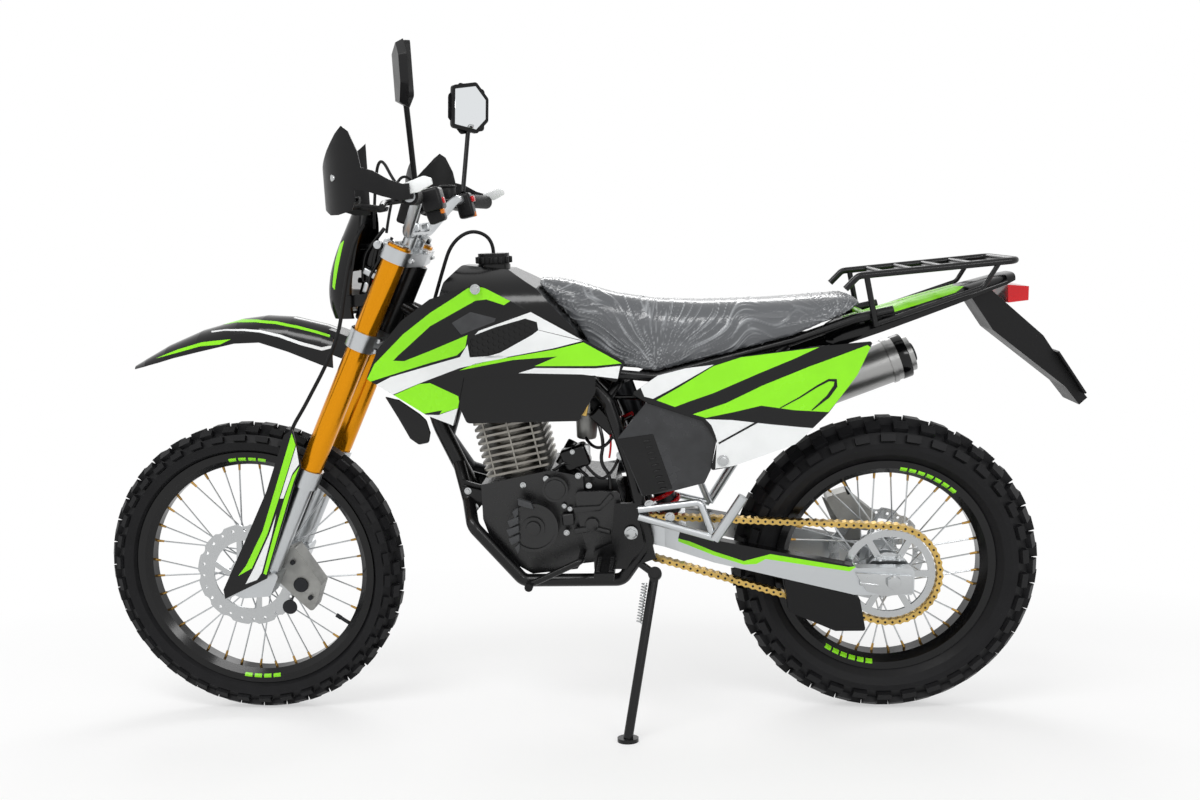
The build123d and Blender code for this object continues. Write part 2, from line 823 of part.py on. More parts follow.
with BuildPart() as front_caliper:
    slab(
        [ahead(-72, 400), ahead(-120, 420), ahead(-175, 330), ahead(-150, 262), ahead(-120, 290), ahead(-70, 345)],
        fork_half_spacing - fork_lug_half - seat_clearance,
        front_disc_y - 24,
        corner=8,
    )
    ring(
        front_axle,
        front_disc_radius + running_clearance,
        0,
        front_disc_y + disc_thickness / 2 + running_clearance,
        front_disc_y - disc_thickness / 2 - running_clearance,
        mode=Mode.SUBTRACT,
    )

# Frame and subframe
def frame_loop(left):
    """Return the corners of one frame loop, from the downtube round the engine to the steering head."""
    return [
        (228, left * 8, 590),
        (202, left * 48, 514),
        (184, left * 106, 470),
        (78, left * cradle_half_width, cradle_height),
        (-140, left * 106, cradle_height),
        (-200, left * 108, 430),
        (-168, left * 106, 590),
        (-120, left * 90, 740),
        (-40, left * 74, 830),
        (on_fork(735).X - 155, left * 62, 880),
        (on_fork(735, -stem_offset).X - 2, left * 12, 950),
    ]


with BuildPart() as frame:
    with BuildSketch(fork_plane(lower_clamp_at + lower_clamp_height / 2 + seat_clearance, -stem_offset)) as head:
        Circle(head_tube_radius)
    head_length = upper_clamp_at - lower_clamp_at - (upper_clamp_height + lower_clamp_height) / 2
    extrude(head.sketch, amount=head_length - 2 * seat_clearance)
    tube([on_fork(735, -stem_offset), (268, 0, 679), (205, 0, 535)], downtube_radius, 200)
    for left in (1, -1):
        tube(frame_loop(left), frame_tube_radius, frame_bend)
        slab(
            [(-215, 395), (-150, 372), (-80, 372), (-80, 412), (-120, 430), (-130, 520), (-190, 520)],
            max(left * pivot_plate_y, left * (pivot_plate_y - pivot_plate_wall)),
            min(left * pivot_plate_y, left * (pivot_plate_y - pivot_plate_wall)),
        )
        slab(
            [(166.5, 545), (215, 560), (200, 500), (166.5, 500)],
            max(left * 46, left * 40.3),
            min(left * 46, left * 40.3),
        )
    tube([(-120, 86, 745), (-144.9, 60, 775.2), (-144.9, -60, 775.2), (-120, -86, 745)], 10, 18)
    rod(stand_pivot - stand_hinge * 12.3, stand_pivot - stand_hinge * 6.3, stand_eye_radius)
    rod(stand_pivot - stand_hinge * 17, (-170, 107, 388), 8)
    rod(stand_pivot - stand_hinge * 12, stand_pivot + stand_hinge * 12, stand_pin_radius)
    rod(stand_pivot + stand_hinge * 6.3, stand_pivot + stand_hinge * 12, stand_pin_radius + 4)
    with BuildSketch(fork_plane(lower_clamp_at, -stem_offset)) as bore:
        Circle(stem_radius + pin_clearance)
    extrude(bore.sketch, amount=300, mode=Mode.SUBTRACT)
    rod((pivot_x, 130, pivot_z), (pivot_x, -130, pivot_z), pivot_bolt_radius + pin_clearance, mode=Mode.SUBTRACT)

with BuildPart() as subframe:
    for left in (1, -1):
        tube(
            [
                (-60, left * 84, 806),
                (-225, left * 95, 788.4),
                (-511, left * 92, 858.2),
                (-640, left * 84, 900),
                (-720, left * 84, 916),
            ],
            subframe_radius,
            60,
        )
        tube([(-170, left * 98, 590), (-330, left * 96, 690), (-500, left * 90, 850)], subframe_radius, 60)
        tube(frame_loop(left), frame_tube_radius + seat_clearance, frame_bend, mode=Mode.SUBTRACT)

# Swingarm, axle, shock, brake
with BuildPart() as swingarm:
    rod((pivot_x, 88, pivot_z), (pivot_x, -88, pivot_z), 18)
    for left in (1, -1):
        with BuildSketch(Plane.XY) as plan:
            with BuildLine():
                Polyline(
                    (pivot_x - 5, left * 60),
                    (pivot_x - 5, left * 88),
                    (-235, left * 88),
                    (-340, left * arm_outer_y),
                    (rear_axle_at.X - 80, left * arm_outer_y),
                    (rear_axle_at.X - 80, left * arm_inner_y),
                    (-340, left * arm_inner_y),
                    (-250, left * 62),
                    close=True,
                )
            make_face()
        with BuildPart(mode=Mode.PRIVATE) as arm:
            extrude(plan.sketch, amount=700)
            slab(
                [
                    (pivot_x - 5, pivot_z + 20),
                    behind(80, 32.2),
                    behind(76, 28.2),
                    behind(-40, 26.2),
                    behind(-46, 20.2),
                    behind(-46, -27.8),
                    behind(-40, -33.8),
                    behind(80, -31.8),
                    (pivot_x - 5, pivot_z - 24),
                ],
                200,
                -200,
                mode=Mode.INTERSECT,
            )
        add(arm.part)
    with BuildSketch(Plane.XY.offset(425)) as bridge:
        with Locations((-247, 0)):
            Rectangle(70, 150)
    extrude(bridge.sketch, amount=30)
    rod((pivot_x, 130, pivot_z), (pivot_x, -130, pivot_z), pivot_bolt_radius + pin_clearance, mode=Mode.SUBTRACT)
    rod((rear_axle_at.X, 150, rear_axle_at.Z), (rear_axle_at.X, -150, rear_axle_at.Z), axle_radius + seat_clearance, mode=Mode.SUBTRACT)

with BuildPart() as pivot_bolt:
    rod((pivot_x, 126, pivot_z), (pivot_x, -126, pivot_z), pivot_bolt_radius)

with BuildPart() as rear_axle:
    rod((rear_axle_at.X, 130, rear_axle_at.Z), (rear_axle_at.X, -130, rear_axle_at.Z), axle_radius)
    for y in (arm_outer_y, -arm_outer_y - 10):
        ring(rear_axle_at, 14, 0, y + 10, y + seat_clearance)

with BuildPart() as rear_shock:
    rod((-250, 0, 463), (-148.2, 0, 765.4), 24)

with BuildPart() as rear_caliper:
    slab(
        [behind(120, 140), behind(70, 155), behind(5, 100), behind(20, 60), behind(80, 70)],
        rear_disc_y + 20,
        rear_disc_y - 24,
        corner=8,
    )
    slab(
        [behind(120, 130), behind(30, 90), behind(30, 5), behind(70, 5)],
        rear_disc_y - 23,
        -arm_inner_y + seat_clearance,
    )
    ring(
        rear_axle_at,
        rear_disc_radius + running_clearance,
        0,
        rear_disc_y + disc_thickness / 2 + running_clearance,
        rear_disc_y - disc_thickness / 2 - running_clearance,
        mode=Mode.SUBTRACT,
    )

with BuildPart() as chain_guide:
    slab(
        [behind(230, 6), behind(220, -70), behind(120, -115), behind(55, -115), behind(68, -42), behind(90, -29.6)],
        116,
        92,
        corner=5,
    )

# Engine
with BuildPart() as engine_cases:
    slab([(165, 558), (10, 588), (-60, 572), (-66, 400), (-40, 362), (60, 352), (140, 400), (165, 480)], 85, -85)
    slab([(160, 545), (178, 540), (178, 505), (160, 500)], 40, -40)
    slab([(-40, 570), (-130, 560), (-145, 500), (-140, 410), (-90, 370), (-40, 365)], 60, -85)

bore_lean = 11.0
bore_up = Vector(sin(radians(bore_lean)), 0, cos(radians(bore_lean)))
bore_forward = Vector(cos(radians(bore_lean)), 0, -sin(radians(bore_lean)))
bore_foot = Vector(82, 0, 574.4)


def on_bore(up, forward=0.0, left=0.0):
    """Return a point up the cylinder's axis, moved forward and to the left."""
    return bore_foot + bore_up * up + bore_forward * forward + Vector(0, left, 0)


with BuildPart() as engine_cylinder:
    bore_plane = Plane(origin=bore_foot, x_dir=(0, 1, 0), z_dir=bore_up)
    with BuildSketch(bore_plane) as core:
        Circle(48)
    extrude(core.sketch, amount=190)
    for level in range(10):
        with BuildSketch(bore_plane.offset(8 + 15 * level)) as fin:
            RectangleRounded(140, 150, 14)
        extrude(fin.sketch, amount=5)
    with BuildSketch(bore_plane.offset(152)) as head:
        RectangleRounded(120, 130, 20)
    extrude(head.sketch, amount=45)

with BuildPart() as engine_covers:
    for centre, radius, top in ((Vector(49, 0, 468), 54, 119), (Vector(0, 0, 549), 28, 103)):
        ring(centre, radius, 0, top - 4, 85 + seat_clearance)
        ring(centre, radius, radius - 6, top, top - 5)
        ring(centre, radius * 0.45, 0, top + 1, top - 5)
    slab([(-42, 543), (-138, 541), (-150, 470), (-134, 401), (-66, 401), (-50, 470)], 101, 91, corner=10)
    slab([(-45, 538), (-60, 538), (-60, 480), (-51, 480)], 92, 85 + seat_clearance)

with BuildPart() as carburettor:
    rod(on_bore(175, -65 - seat_clearance), on_bore(175, -115), 22)
    rod(on_bore(175, -112), (-110, 0, 705), 34)

silencer_front = Vector(-440, -121, 666)
silencer_back = Vector(-790, -124, 792)
silencer_run = (silencer_back - silencer_front).normalized()
with BuildPart() as exhaust_pipe:
    tube(
        [
            on_bore(175, 65 + seat_clearance, -18),
            on_bore(175, 118, -18),
            (266, -60, 640),
            (232, -132, 545),
            (120, -154, 500),
            (-180, -162, 540),
            (-345, -162, 618),
            silencer_front - silencer_run * 45,
            silencer_front - silencer_run * seat_clearance,
        ],
        17,
        24,
    )

with BuildPart() as silencer:
    rod(silencer_front, silencer_back, silencer_radius)
    rod(silencer_back - silencer_run * 40, silencer_back - silencer_run * 30, silencer_radius + 2.5)
    rod(silencer_back, silencer_back + silencer_run * 16, silencer_radius - 9)
    rod(silencer_back - silencer_run * 60, silencer_back + silencer_run * 30, 19, mode=Mode.SUBTRACT)

# Tank, seat and bodywork
with BuildPart() as fuel_tank:
    slab(
        [(220, 1003), (190, 1036), (85, 1024), (20, 985), (-60, 900), (-98, 800), (-98, 766)]
        + [(-60, 706), (178, 706), (211, 790), (240, 900)],
        tank_half_width,
        -tank_half_width,
        corner=10,
    )
    slab(
        [(300, 690), (300, 950), (200, 902), (-40, 852), (-200, 800), (-200, 690)],
        tunnel_half_width,
        -tunnel_half_width,
        mode=Mode.SUBTRACT,
    )
    with BuildSketch(Plane(origin=(-300, 0, 0), x_dir=(0, 1, 0), z_dir=(1, 0, 0))) as crown:
        with BuildLine():
            Polyline((tank_half_width, 925), (tank_half_width, 600), (-tank_half_width, 600), (-tank_half_width, 925))
            left_shoulder = [(-tank_half_width, 925), (-124, 965), (-95, 1000), (-60, 1022)]
            right_shoulder = [(60, 1022), (95, 1000), (124, 965), (tank_half_width, 925)]
            Spline(*left_shoulder, (0, 1040), *right_shoulder)
        make_face()
    extrude(crown.sketch, amount=700, mode=Mode.INTERSECT)
    with BuildSketch(Plane.XY.offset(1000)) as neck:
        with Locations((125, 0)):
            Circle(36)
    extrude(neck.sketch, amount=34 - seat_clearance)

with BuildPart() as fuel_cap:
    with BuildSketch(Plane.XY.offset(1034)) as base:
        with Locations((125, 0)):
            Circle(34)
    extrude(base.sketch, amount=24)

vent_outline = [(163, 852), (160, 886), (105, 906), (42, 922), (20, 915), (30, 894), (98, 858), (140, 847)]
shroud_path = [(-170, 136.3), (200, 136.3), (250, 139), (300, 146), (350, 157), (390, 168)]
with BuildPart() as shrouds:
    extrude(strip(shroud_path, panel_wall, smooth=False), amount=1100)
    with BuildPart(mode=Mode.INTERSECT):
        slab(
            [(378, 812), (352, 872), (300, 930), (240, 972), (140, 1000), (30, 940), (-163, 830), (-143, 787)]
            + [(-98, 803), (178, 807), (205, 700), (262, 728), (320, 770)],
            200,
            100,
            corner=6,
        )
    slab(vent_outline, 200, 100, mode=Mode.SUBTRACT, corner=4)
    with BuildSketch(side(tank_half_width + seat_clearance + vent_wall)) as grille:
        with BuildLine():
            Polyline(*vent_outline, close=True)
        make_face()
        fillet(grille.vertices(), radius=4)
        with Locations((91, 885)):
            with HexLocations(vent_pitch / 2, 14, 8):
                RegularPolygon(vent_pitch / 2 - vent_bar / 2, 6, major_radius=False, mode=Mode.SUBTRACT)
    extrude(grille.sketch, amount=vent_wall)
    mirror(about=Plane.XZ)

with BuildPart() as seat:
    sections = []
    for x, half, low, high in (
        (24, 44, 992, 1003),
        (-20, 60, 946, 1000),
        (-60, 72, 903, 990),
        (-102, 80, 826, 977),
        (-140, 86, 818, 965),
        (-225, 95, 800.5, 950),
        (-330, 101, 826, 944),
        (-434, 104, 851, 944),
        (-511, 105, 869.5, 946),
        (-626, 99, 917, 951),
        (-652, 90, 932, 941),
    ):
        sections.append(body_section(x, half, low, high, 3.2))
    loft(sections, ruled=True)

panel_path = [(-168, 134), (-230, 138), (-330, 141), (-430, 141), (-520, 139), (-600, 132), (-680, 119)]
with BuildPart() as side_panels:
    extrude(strip(panel_path, panel_wall, smooth=False), amount=1000)
    with BuildPart(mode=Mode.INTERSECT):
        slab(
            [(-174, 762), (-230, 800), (-354, 831), (-562, 852), (-672, 857), (-640, 790), (-580, 712), (-515, 650)]
            + [(-374, 602), (-335, 596), (-349, 654), (-321, 702), (-203, 744)],
            200,
            100,
            corner=4,
        )
    rod((-415, 141.5, 770), (-415, 103.4, 770), 8)
    mirror(about=Plane.XZ)
    rod(silencer_front + (silencer_front - silencer_back), silencer_back, silencer_radius + 6, mode=Mode.SUBTRACT)
    slab([(-100, 560), (-100, 570), (-424, 672), (-790, 792), (-790, 560)], -100, -200, mode=Mode.SUBTRACT)

with BuildPart() as side_covers:
    slab([(-142, 668), (-203, 742), (-321, 700), (-348, 655), (-336, 596), (-322, 567), (-262, 552), (-189, 540)], 136, 126, corner=4)
    rod((-250, 130, 640), (-250, 107.4, 640), 8)
    mirror(about=Plane.XZ)

with BuildPart() as tail_fender:
    sections = []
    for x, half, low, high in (
        (-585, 66, 850, 868),
        (-600, 73, 838, 882),
        (-617, 73.7, 843.3, 892),
        (-700, 73.7, 870, 914),
        (-780, 71, 897.5, 936),
        (-860, 66, 925, 956),
        (-960, 52, 960, 981),
        (-978, 46, 968, 984),
    ):
        sections.append(body_section(x, half, low, high, 3.2))
    loft(sections, ruled=True)
    rod((-670, 73.7, 904), (-670, -73.7, 904), 7)

with BuildPart() as rear_rack:
    for left in (rack_half_width, -rack_half_width):
        tube([(-619, left, 964), (-645, left, 990), (-963, left, 1012), (-963, left * 0.1, 1012)], 7, 18)
        rod((-662, left, 988), (-682, left, 885), 6)
        tube([(-682, left, 890), (-897, left, 959), (-925, left, 1005)], 5, 20)
    rod((-963, 20, 1012), (-963, -20, 1012), 7)
    for x in (-700, -760, -820, -880):
        rod((x, rack_half_width, 994 - (x + 700) * 0.07), (x, -rack_half_width, 994 - (x + 700) * 0.07), 5)

with BuildPart() as plate_holder:
    slab(
        [(-889, 934.8), (-930, 949.1), (-1040, 850), (-1105, 753), (-1136, 715), (-1120, 700), (-1089, 740), (-936, 864)],
        plate_arm_half,
        -plate_arm_half,
    )
    top = Vector(-1062, 817)
    foot = Vector(-1122, 727)
    square = Vector(foot.Y - top.Y, top.X - foot.X).normalized() * plate_wall
    corners = [top, foot, foot + square, top + square]
    slab([(corner.X, corner.Y) for corner in corners], plate_half_width, -plate_half_width)
    for left in (plate_hole_spacing / 2, -plate_hole_spacing / 2):
        middle = (top + foot) * 0.5
        start = Vector(middle.X, left, middle.Y) - Vector(square.X, 0, square.Y)
        rod(start, start + Vector(square.X, 0, square.Y) * 3, plate_hole_radius, mode=Mode.SUBTRACT)

with BuildPart() as tail_lamp:
    slab([(-960.3, 959.5), (-1003, 955), (-1003, 926), (-962, 922)], 55, -55)

with BuildPart() as footpegs:
    for left in (1, -1):
        slab([(-88, 403), (-129, 403), (-129, 385), (-88, 385)], max(left * 232, left * 118.3), min(left * 232, left * 118.3))

with BuildPart() as passenger_pegs:
    for left in (1, -1):
        rod((-180, left * 126.6, 492), (-341, left * 136, 446), 8)
        tube([(-180, left * 126.6, 508), (-312, left * 127, 522), (-341, left * 136, 446)], 8, 10)
        rod((-341, left * 147, 446), (-402, left * 152, 540), 11)
        tube(frame_loop(left), frame_tube_radius + seat_clearance, frame_bend, mode=Mode.SUBTRACT)

with BuildPart() as foot_controls:
    tube([(-54, 85.3, 402), (-54, 150, 402), (40, 155, 360), (60, 155, 352)], 7, 8)
    tube([(-60, -120.3, 344), (-60, -144, 344), (60, -152, 347), (115, -150, 352)], 7, 8)

with BuildPart() as vent_hose:
    tube(
        [
            (125, 0, 1058.3),
            (125, 0, 1090),
            (168, 14, 1112),
            (212, 24, 1084),
            (234, 28, 1026),
            (258, 28, 956),
        ],
        4,
        18,
    )

with BuildPart() as side_stand:
    ground = stand_foot_y * tan(radians(lean))
    sole = Vector(stand_foot_x, stand_foot_y, ground)
    up = Vector(0, -sin(radians(lean)), cos(radians(lean)))
    rod(stand_pivot, sole + up * 6, stand_leg_radius)
    rod(stand_pivot - stand_hinge * 12, stand_pivot - stand_hinge * 6, stand_eye_radius + 4, mode=Mode.SUBTRACT)
    rod(stand_pivot + stand_hinge * 6, stand_pivot + stand_hinge * 14, stand_eye_radius + 4, mode=Mode.SUBTRACT)
    rod(stand_pivot - stand_hinge * 6, stand_pivot + stand_hinge * 6, stand_eye_radius)
    rod(
        stand_pivot - stand_hinge * 20,
        stand_pivot + stand_hinge * 20,
        stand_pin_radius + pin_clearance,
        mode=Mode.SUBTRACT,
    )
    with BuildSketch(Plane(origin=sole, z_dir=up)) as pad:
        Circle(stand_pad_radius)
    extrude(pad.sketch, amount=stand_pad_height)

pieces = {
    "frame": frame,
    "subframe": subframe,
    "engine_cases": engine_cases,
    "engine_cylinder": engine_cylinder,
    "engine_covers": engine_covers,
    "front_sprocket": front_sprocket,
    "carburettor": carburettor,
    "exhaust_pipe": exhaust_pipe,
    "silencer": silencer,
    "fuel_tank": fuel_tank,
    "fuel_cap": fuel_cap,
    "shrouds": shrouds,
    "seat": seat,
    "side_panels": side_panels,
    "side_covers": side_covers,
    "tail_fender": tail_fender,
    "rear_rack": rear_rack,
    "plate_holder": plate_holder,
    "tail_lamp": tail_lamp,
    "swingarm": swingarm,
    "pivot_bolt": pivot_bolt,
    "chain": chain,
    "chain_guide": chain_guide,
    "rear_axle": rear_axle,
    "rear_shock": rear_shock,
    "rear_caliper": rear_caliper,
    "footpegs": footpegs,
    "passenger_pegs": passenger_pegs,
    "foot_controls": foot_controls,
    "vent_hose": vent_hose,
    "side_stand": side_stand,
    "fork_clamps": fork_clamps,
    "fork_tubes": fork_tubes,
    "fork_legs": fork_legs,
    "fork_guards": fork_guards,
    "front_fender": front_fender,
    "headlamp_mask": headlamp_mask,
    "headlamp": headlamp,
    "handlebar": handlebar,
    "grips": grips,
    "control_levers": control_levers,
    "handguards": handguards,
    "mirrors": mirrors,
    "front_caliper": front_caliper,
    "front_axle": front_axle_pin,
    "front_tyre": front_tyre,
    "front_rim": front_rim,
    "front_hub": front_hub,
    "front_disc": front_disc,
    "rear_tyre": rear_tyre,
    "rear_rim": rear_rim,
    "rear_hub": rear_hub,
    "rear_disc": rear_disc,
    "rear_sprocket": rear_sprocket,
}

for label, piece in pieces.items():
    standing = piece.part.moved(parked)
    standing.label = label
    export_step(standing, f"parts/{label}.step")
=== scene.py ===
"""Looks of a trail motorcycle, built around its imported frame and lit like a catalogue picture."""

from __future__ import annotations

import logging
import math
from collections.abc import Iterable
from dataclasses import dataclass, field
from enum import Enum

import bmesh
import bpy
from mathutils import Matrix, Vector, noise

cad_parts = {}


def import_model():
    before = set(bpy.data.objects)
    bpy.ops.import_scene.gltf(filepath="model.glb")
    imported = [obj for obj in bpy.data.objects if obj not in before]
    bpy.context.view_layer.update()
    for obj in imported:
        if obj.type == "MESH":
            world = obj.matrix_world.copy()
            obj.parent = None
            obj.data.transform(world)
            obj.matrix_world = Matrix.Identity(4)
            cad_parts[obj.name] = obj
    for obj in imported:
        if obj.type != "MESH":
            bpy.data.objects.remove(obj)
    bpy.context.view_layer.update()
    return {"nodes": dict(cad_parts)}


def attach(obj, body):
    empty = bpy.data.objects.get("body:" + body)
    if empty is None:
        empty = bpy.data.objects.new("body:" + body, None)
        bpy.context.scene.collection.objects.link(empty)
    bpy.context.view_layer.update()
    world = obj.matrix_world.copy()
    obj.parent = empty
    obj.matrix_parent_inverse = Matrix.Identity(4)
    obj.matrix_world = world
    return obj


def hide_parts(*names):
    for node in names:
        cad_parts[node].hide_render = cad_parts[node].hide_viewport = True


logging.basicConfig(level=logging.INFO, format="%(levelname)s %(message)s")
log = logging.getLogger("trail_motorcycle")

Point = tuple[float, float, float]
Flat = tuple[float, float]
Outline = tuple[Flat, ...]
Bolt = tuple[float, float, float, float]
Colour = tuple[float, float, float, float]

MM = 0.001
METRE = 1000.0
LEAN = math.radians(11.0)
PARK_SHIFT = Vector((0.035, -0.224, 0.0))
PARKED = Matrix.Translation(PARK_SHIFT) @ Matrix.Rotation(-LEAN, 4, "X")
WHITE_LIGHT = (1.0, 1.0, 1.0, 1.0)

RAKE = math.radians(26.0)
FRONT_AXLE = Vector((720.0, 0.0, 347.9))
REAR_AXLE = Vector((-720.0, 0.0, 339.7))
FORK_UP = Vector((-math.sin(RAKE), 0.0, math.cos(RAKE)))
FORK_FORWARD = Vector((math.cos(RAKE), 0.0, math.sin(RAKE)))
FORK_FOOT = FRONT_AXLE - FORK_FORWARD * 51.0


def on_fork(along: float, forward: float = 0.0, left: float = 0.0) -> Vector:
    """Return a point of the upright machine, measured up the fork, ahead of it and to its left."""
    return FORK_FOOT + FORK_UP * along + FORK_FORWARD * forward + Vector((0.0, left, 0.0))


def fork_flat(along: float, forward: float) -> Flat:
    """Return a side-view point, measured up the fork and ahead of it."""
    place = on_fork(along, forward)
    return (place.x, place.z)


class Tone(Enum):
    """Colours of the machine, as sRGB hex."""

    BLACK_GLOSS = "#060607"
    BLACK_SATIN = "#0c0c0d"
    BLACK_PLASTIC = "#131314"
    GREY_PLASTIC = "#3a3b3d"
    GREY_SMOKE = "#303133"
    RUBBER = "#101011"
    TYRE = "#141416"
    LIME = "#8ce60e"
    WHITE = "#e6e8e8"
    FORK_GOLD = "#dc8f08"
    CHAIN_GOLD = "#d2b066"
    NIPPLE_GOLD = "#b08a4a"
    ALUMINIUM = "#c3c6c8"
    ENGINE = "#121213"
    FINS = "#97948d"
    CAST = "#9c9c99"
    STEEL = "#b9bbbc"
    DARK_STEEL = "#26272a"
    SILENCER = "#a2a2a1"
    FILM_DARK = "#55575a"
    # Paler film colour on the seat's folds, a painted highlight along the creases
    FILM_PALE = "#b4b7ba"
    FLOOR = "#ffffff"
    RED = "#c4141c"
    AMBER = "#e07a12"
    MIRROR = "#dfe2e4"


def linear(hex_colour: str) -> Colour:
    """Convert an sRGB hex colour to linear RGBA.

    Args:
        hex_colour: A colour such as "#58c81e".

    Returns:
        The linear red, green and blue with an alpha of one.
    """
    channels = [int(hex_colour[i : i + 2], 16) / 255 for i in (1, 3, 5)]
    values = [c / 12.92 if c <= 0.04045 else ((c + 0.055) / 1.055) ** 2.4 for c in channels]
    return (values[0], values[1], values[2], 1.0)


@dataclass(frozen=True)
class Finish:
    """How a surface answers light.

    Attributes:
        tone: Base colour.
        rough: Roughness from 0 to 1.
        metal: Metallic share from 0 to 1.
        coat: Weight of a clear coat.
        shine: How much a non-metal mirrors, 0.5 for most plastics.
        grain: Strength of the bump, 0 for none.
        grain_mm: Size of the bump's grain in millimetres.
        pull: How far the grain is drawn out along X, 1 for even.
        mottle: How far the roughness wanders.
        shade: How far the colour wanders towards black.
        second: A second colour that an attribute named "fold" brings in, used as a painted highlight on the folds.
    """

    tone: Tone
    rough: float = 0.5
    metal: float = 0.0
    coat: float = 0.0
    shine: float = 0.5
    grain: float = 0.0
    grain_mm: float = 4.0
    pull: float = 1.0
    mottle: float = 0.0
    shade: float = 0.0
    second: Tone | None = None


FINISHES: dict[str, Finish] = {
    # Injection-moulded gloss ABS: soft wide reflections under a hard skin
    "gloss_black_abs": Finish(Tone.BLACK_GLOSS, 0.16, shine=0.32, mottle=0.04),
    # Powder-coated steel tube: even satin with a faint orange peel
    "powder_black_steel": Finish(Tone.BLACK_SATIN, 0.26, shine=0.32, grain=0.1, grain_mm=3.0, mottle=0.08),
    # Moulded polypropylene with a fine spark-eroded grain
    "grained_black_pp": Finish(Tone.BLACK_PLASTIC, 0.38, shine=0.2, grain=0.2, grain_mm=1.6, mottle=0.08),
    "grained_grey_pp": Finish(Tone.GREY_PLASTIC, 0.45, shine=0.35, grain=0.2, grain_mm=1.6, mottle=0.08),
    "smoked_cover": Finish(Tone.GREY_SMOKE, 0.26, shine=0.4, mottle=0.1, shade=0.35),
    "grip_rubber": Finish(Tone.RUBBER, 0.65, shine=0.25, grain=0.3, grain_mm=3.0),
    "tyre_rubber": Finish(Tone.TYRE, 0.5, shine=0.2, grain=0.2, grain_mm=3.5, mottle=0.14, shade=0.3),
    # Vinyl film graphics under a clear over-laminate
    "lime_film": Finish(Tone.LIME, 0.26, shine=0.4, mottle=0.05, shade=0.05),
    "white_film": Finish(Tone.WHITE, 0.3, shine=0.4, mottle=0.05, shade=0.04),
    "black_film": Finish(Tone.BLACK_GLOSS, 0.2, shine=0.32, mottle=0.05),
    "grey_film": Finish(Tone.GREY_PLASTIC, 0.32, shine=0.4, mottle=0.06, shade=0.3),
    # Gold-anodised fork tube: a metal that keeps the turning marks along it
    "anodised_gold": Finish(Tone.FORK_GOLD, 0.2, metal=0.8, shine=0.4, grain=0.05, grain_mm=2.0, mottle=0.06),
    "plated_gold": Finish(Tone.CHAIN_GOLD, 0.3, metal=1.0, mottle=0.1, shade=0.2),
    "brass_nipple": Finish(Tone.NIPPLE_GOLD, 0.35, metal=1.0),
    "brushed_aluminium": Finish(Tone.ALUMINIUM, 0.34, metal=1.0, grain=0.1, grain_mm=1.2, pull=12.0, mottle=0.1),
    # Black-painted castings: the paint rounds the cast skin and takes a soft shine
    "engine_black": Finish(Tone.ENGINE, 0.27, shine=0.5, grain=0.3, grain_mm=2.4, mottle=0.08),
    "finned_aluminium": Finish(Tone.FINS, 0.42, metal=0.9, grain=0.25, grain_mm=2.0, shade=0.3),
    "cast_aluminium": Finish(Tone.CAST, 0.48, metal=0.85, grain=0.35, grain_mm=2.2, shade=0.25),
    "plated_steel": Finish(Tone.STEEL, 0.24, metal=1.0, mottle=0.08),
    "dark_steel": Finish(Tone.DARK_STEEL, 0.35, metal=0.7, mottle=0.08),
    "silencer_steel": Finish(Tone.SILENCER, 0.32, metal=0.9, grain=0.1, grain_mm=1.4, pull=10.0, mottle=0.08),
    # Crumpled clear film over black vinyl: pale where it stands up in folds, a painted highlight along the creases
    "film_on_vinyl": Finish(Tone.FILM_DARK, 0.24, shine=0.5, coat=0.2, grain=0.2, grain_mm=16.0, second=Tone.FILM_PALE),
    "red_lens": Finish(Tone.RED, 0.14, shine=0.3, coat=0.15, mottle=0.04),
    "amber_lens": Finish(Tone.AMBER, 0.18, shine=0.35),
    "mirror_glass": Finish(Tone.MIRROR, 0.04, metal=1.0, mottle=0.02),
    "lamp_glass": Finish(Tone.WHITE, 0.08, coat=1.0, mottle=0.04),
    "floor": Finish(Tone.FLOOR, 0.9),
}


def add_node(
    tree: bpy.types.NodeTree,
    kind: str,
    settings: dict[str, object] | None = None,
    links: dict[str | int, bpy.types.NodeSocket] | None = None,
) -> bpy.types.Node:
    """Add a shader node with its settings and the links into it.

    Args:
        tree: The node tree.
        kind: Blender's name of the node's type, without "ShaderNode".
        settings: Values by property or socket name.
        links: Sockets that feed this node's inputs, by input name or number.

    Returns:
        The node.
    """
    item = tree.nodes.new(f"ShaderNode{kind}")
    for name, value in (settings or {}).items():
        if name in item.inputs:
            item.inputs[name].default_value = value
        else:
            setattr(item, name, value)
    for name, source in (links or {}).items():
        tree.links.new(source, item.inputs[name])
    return item


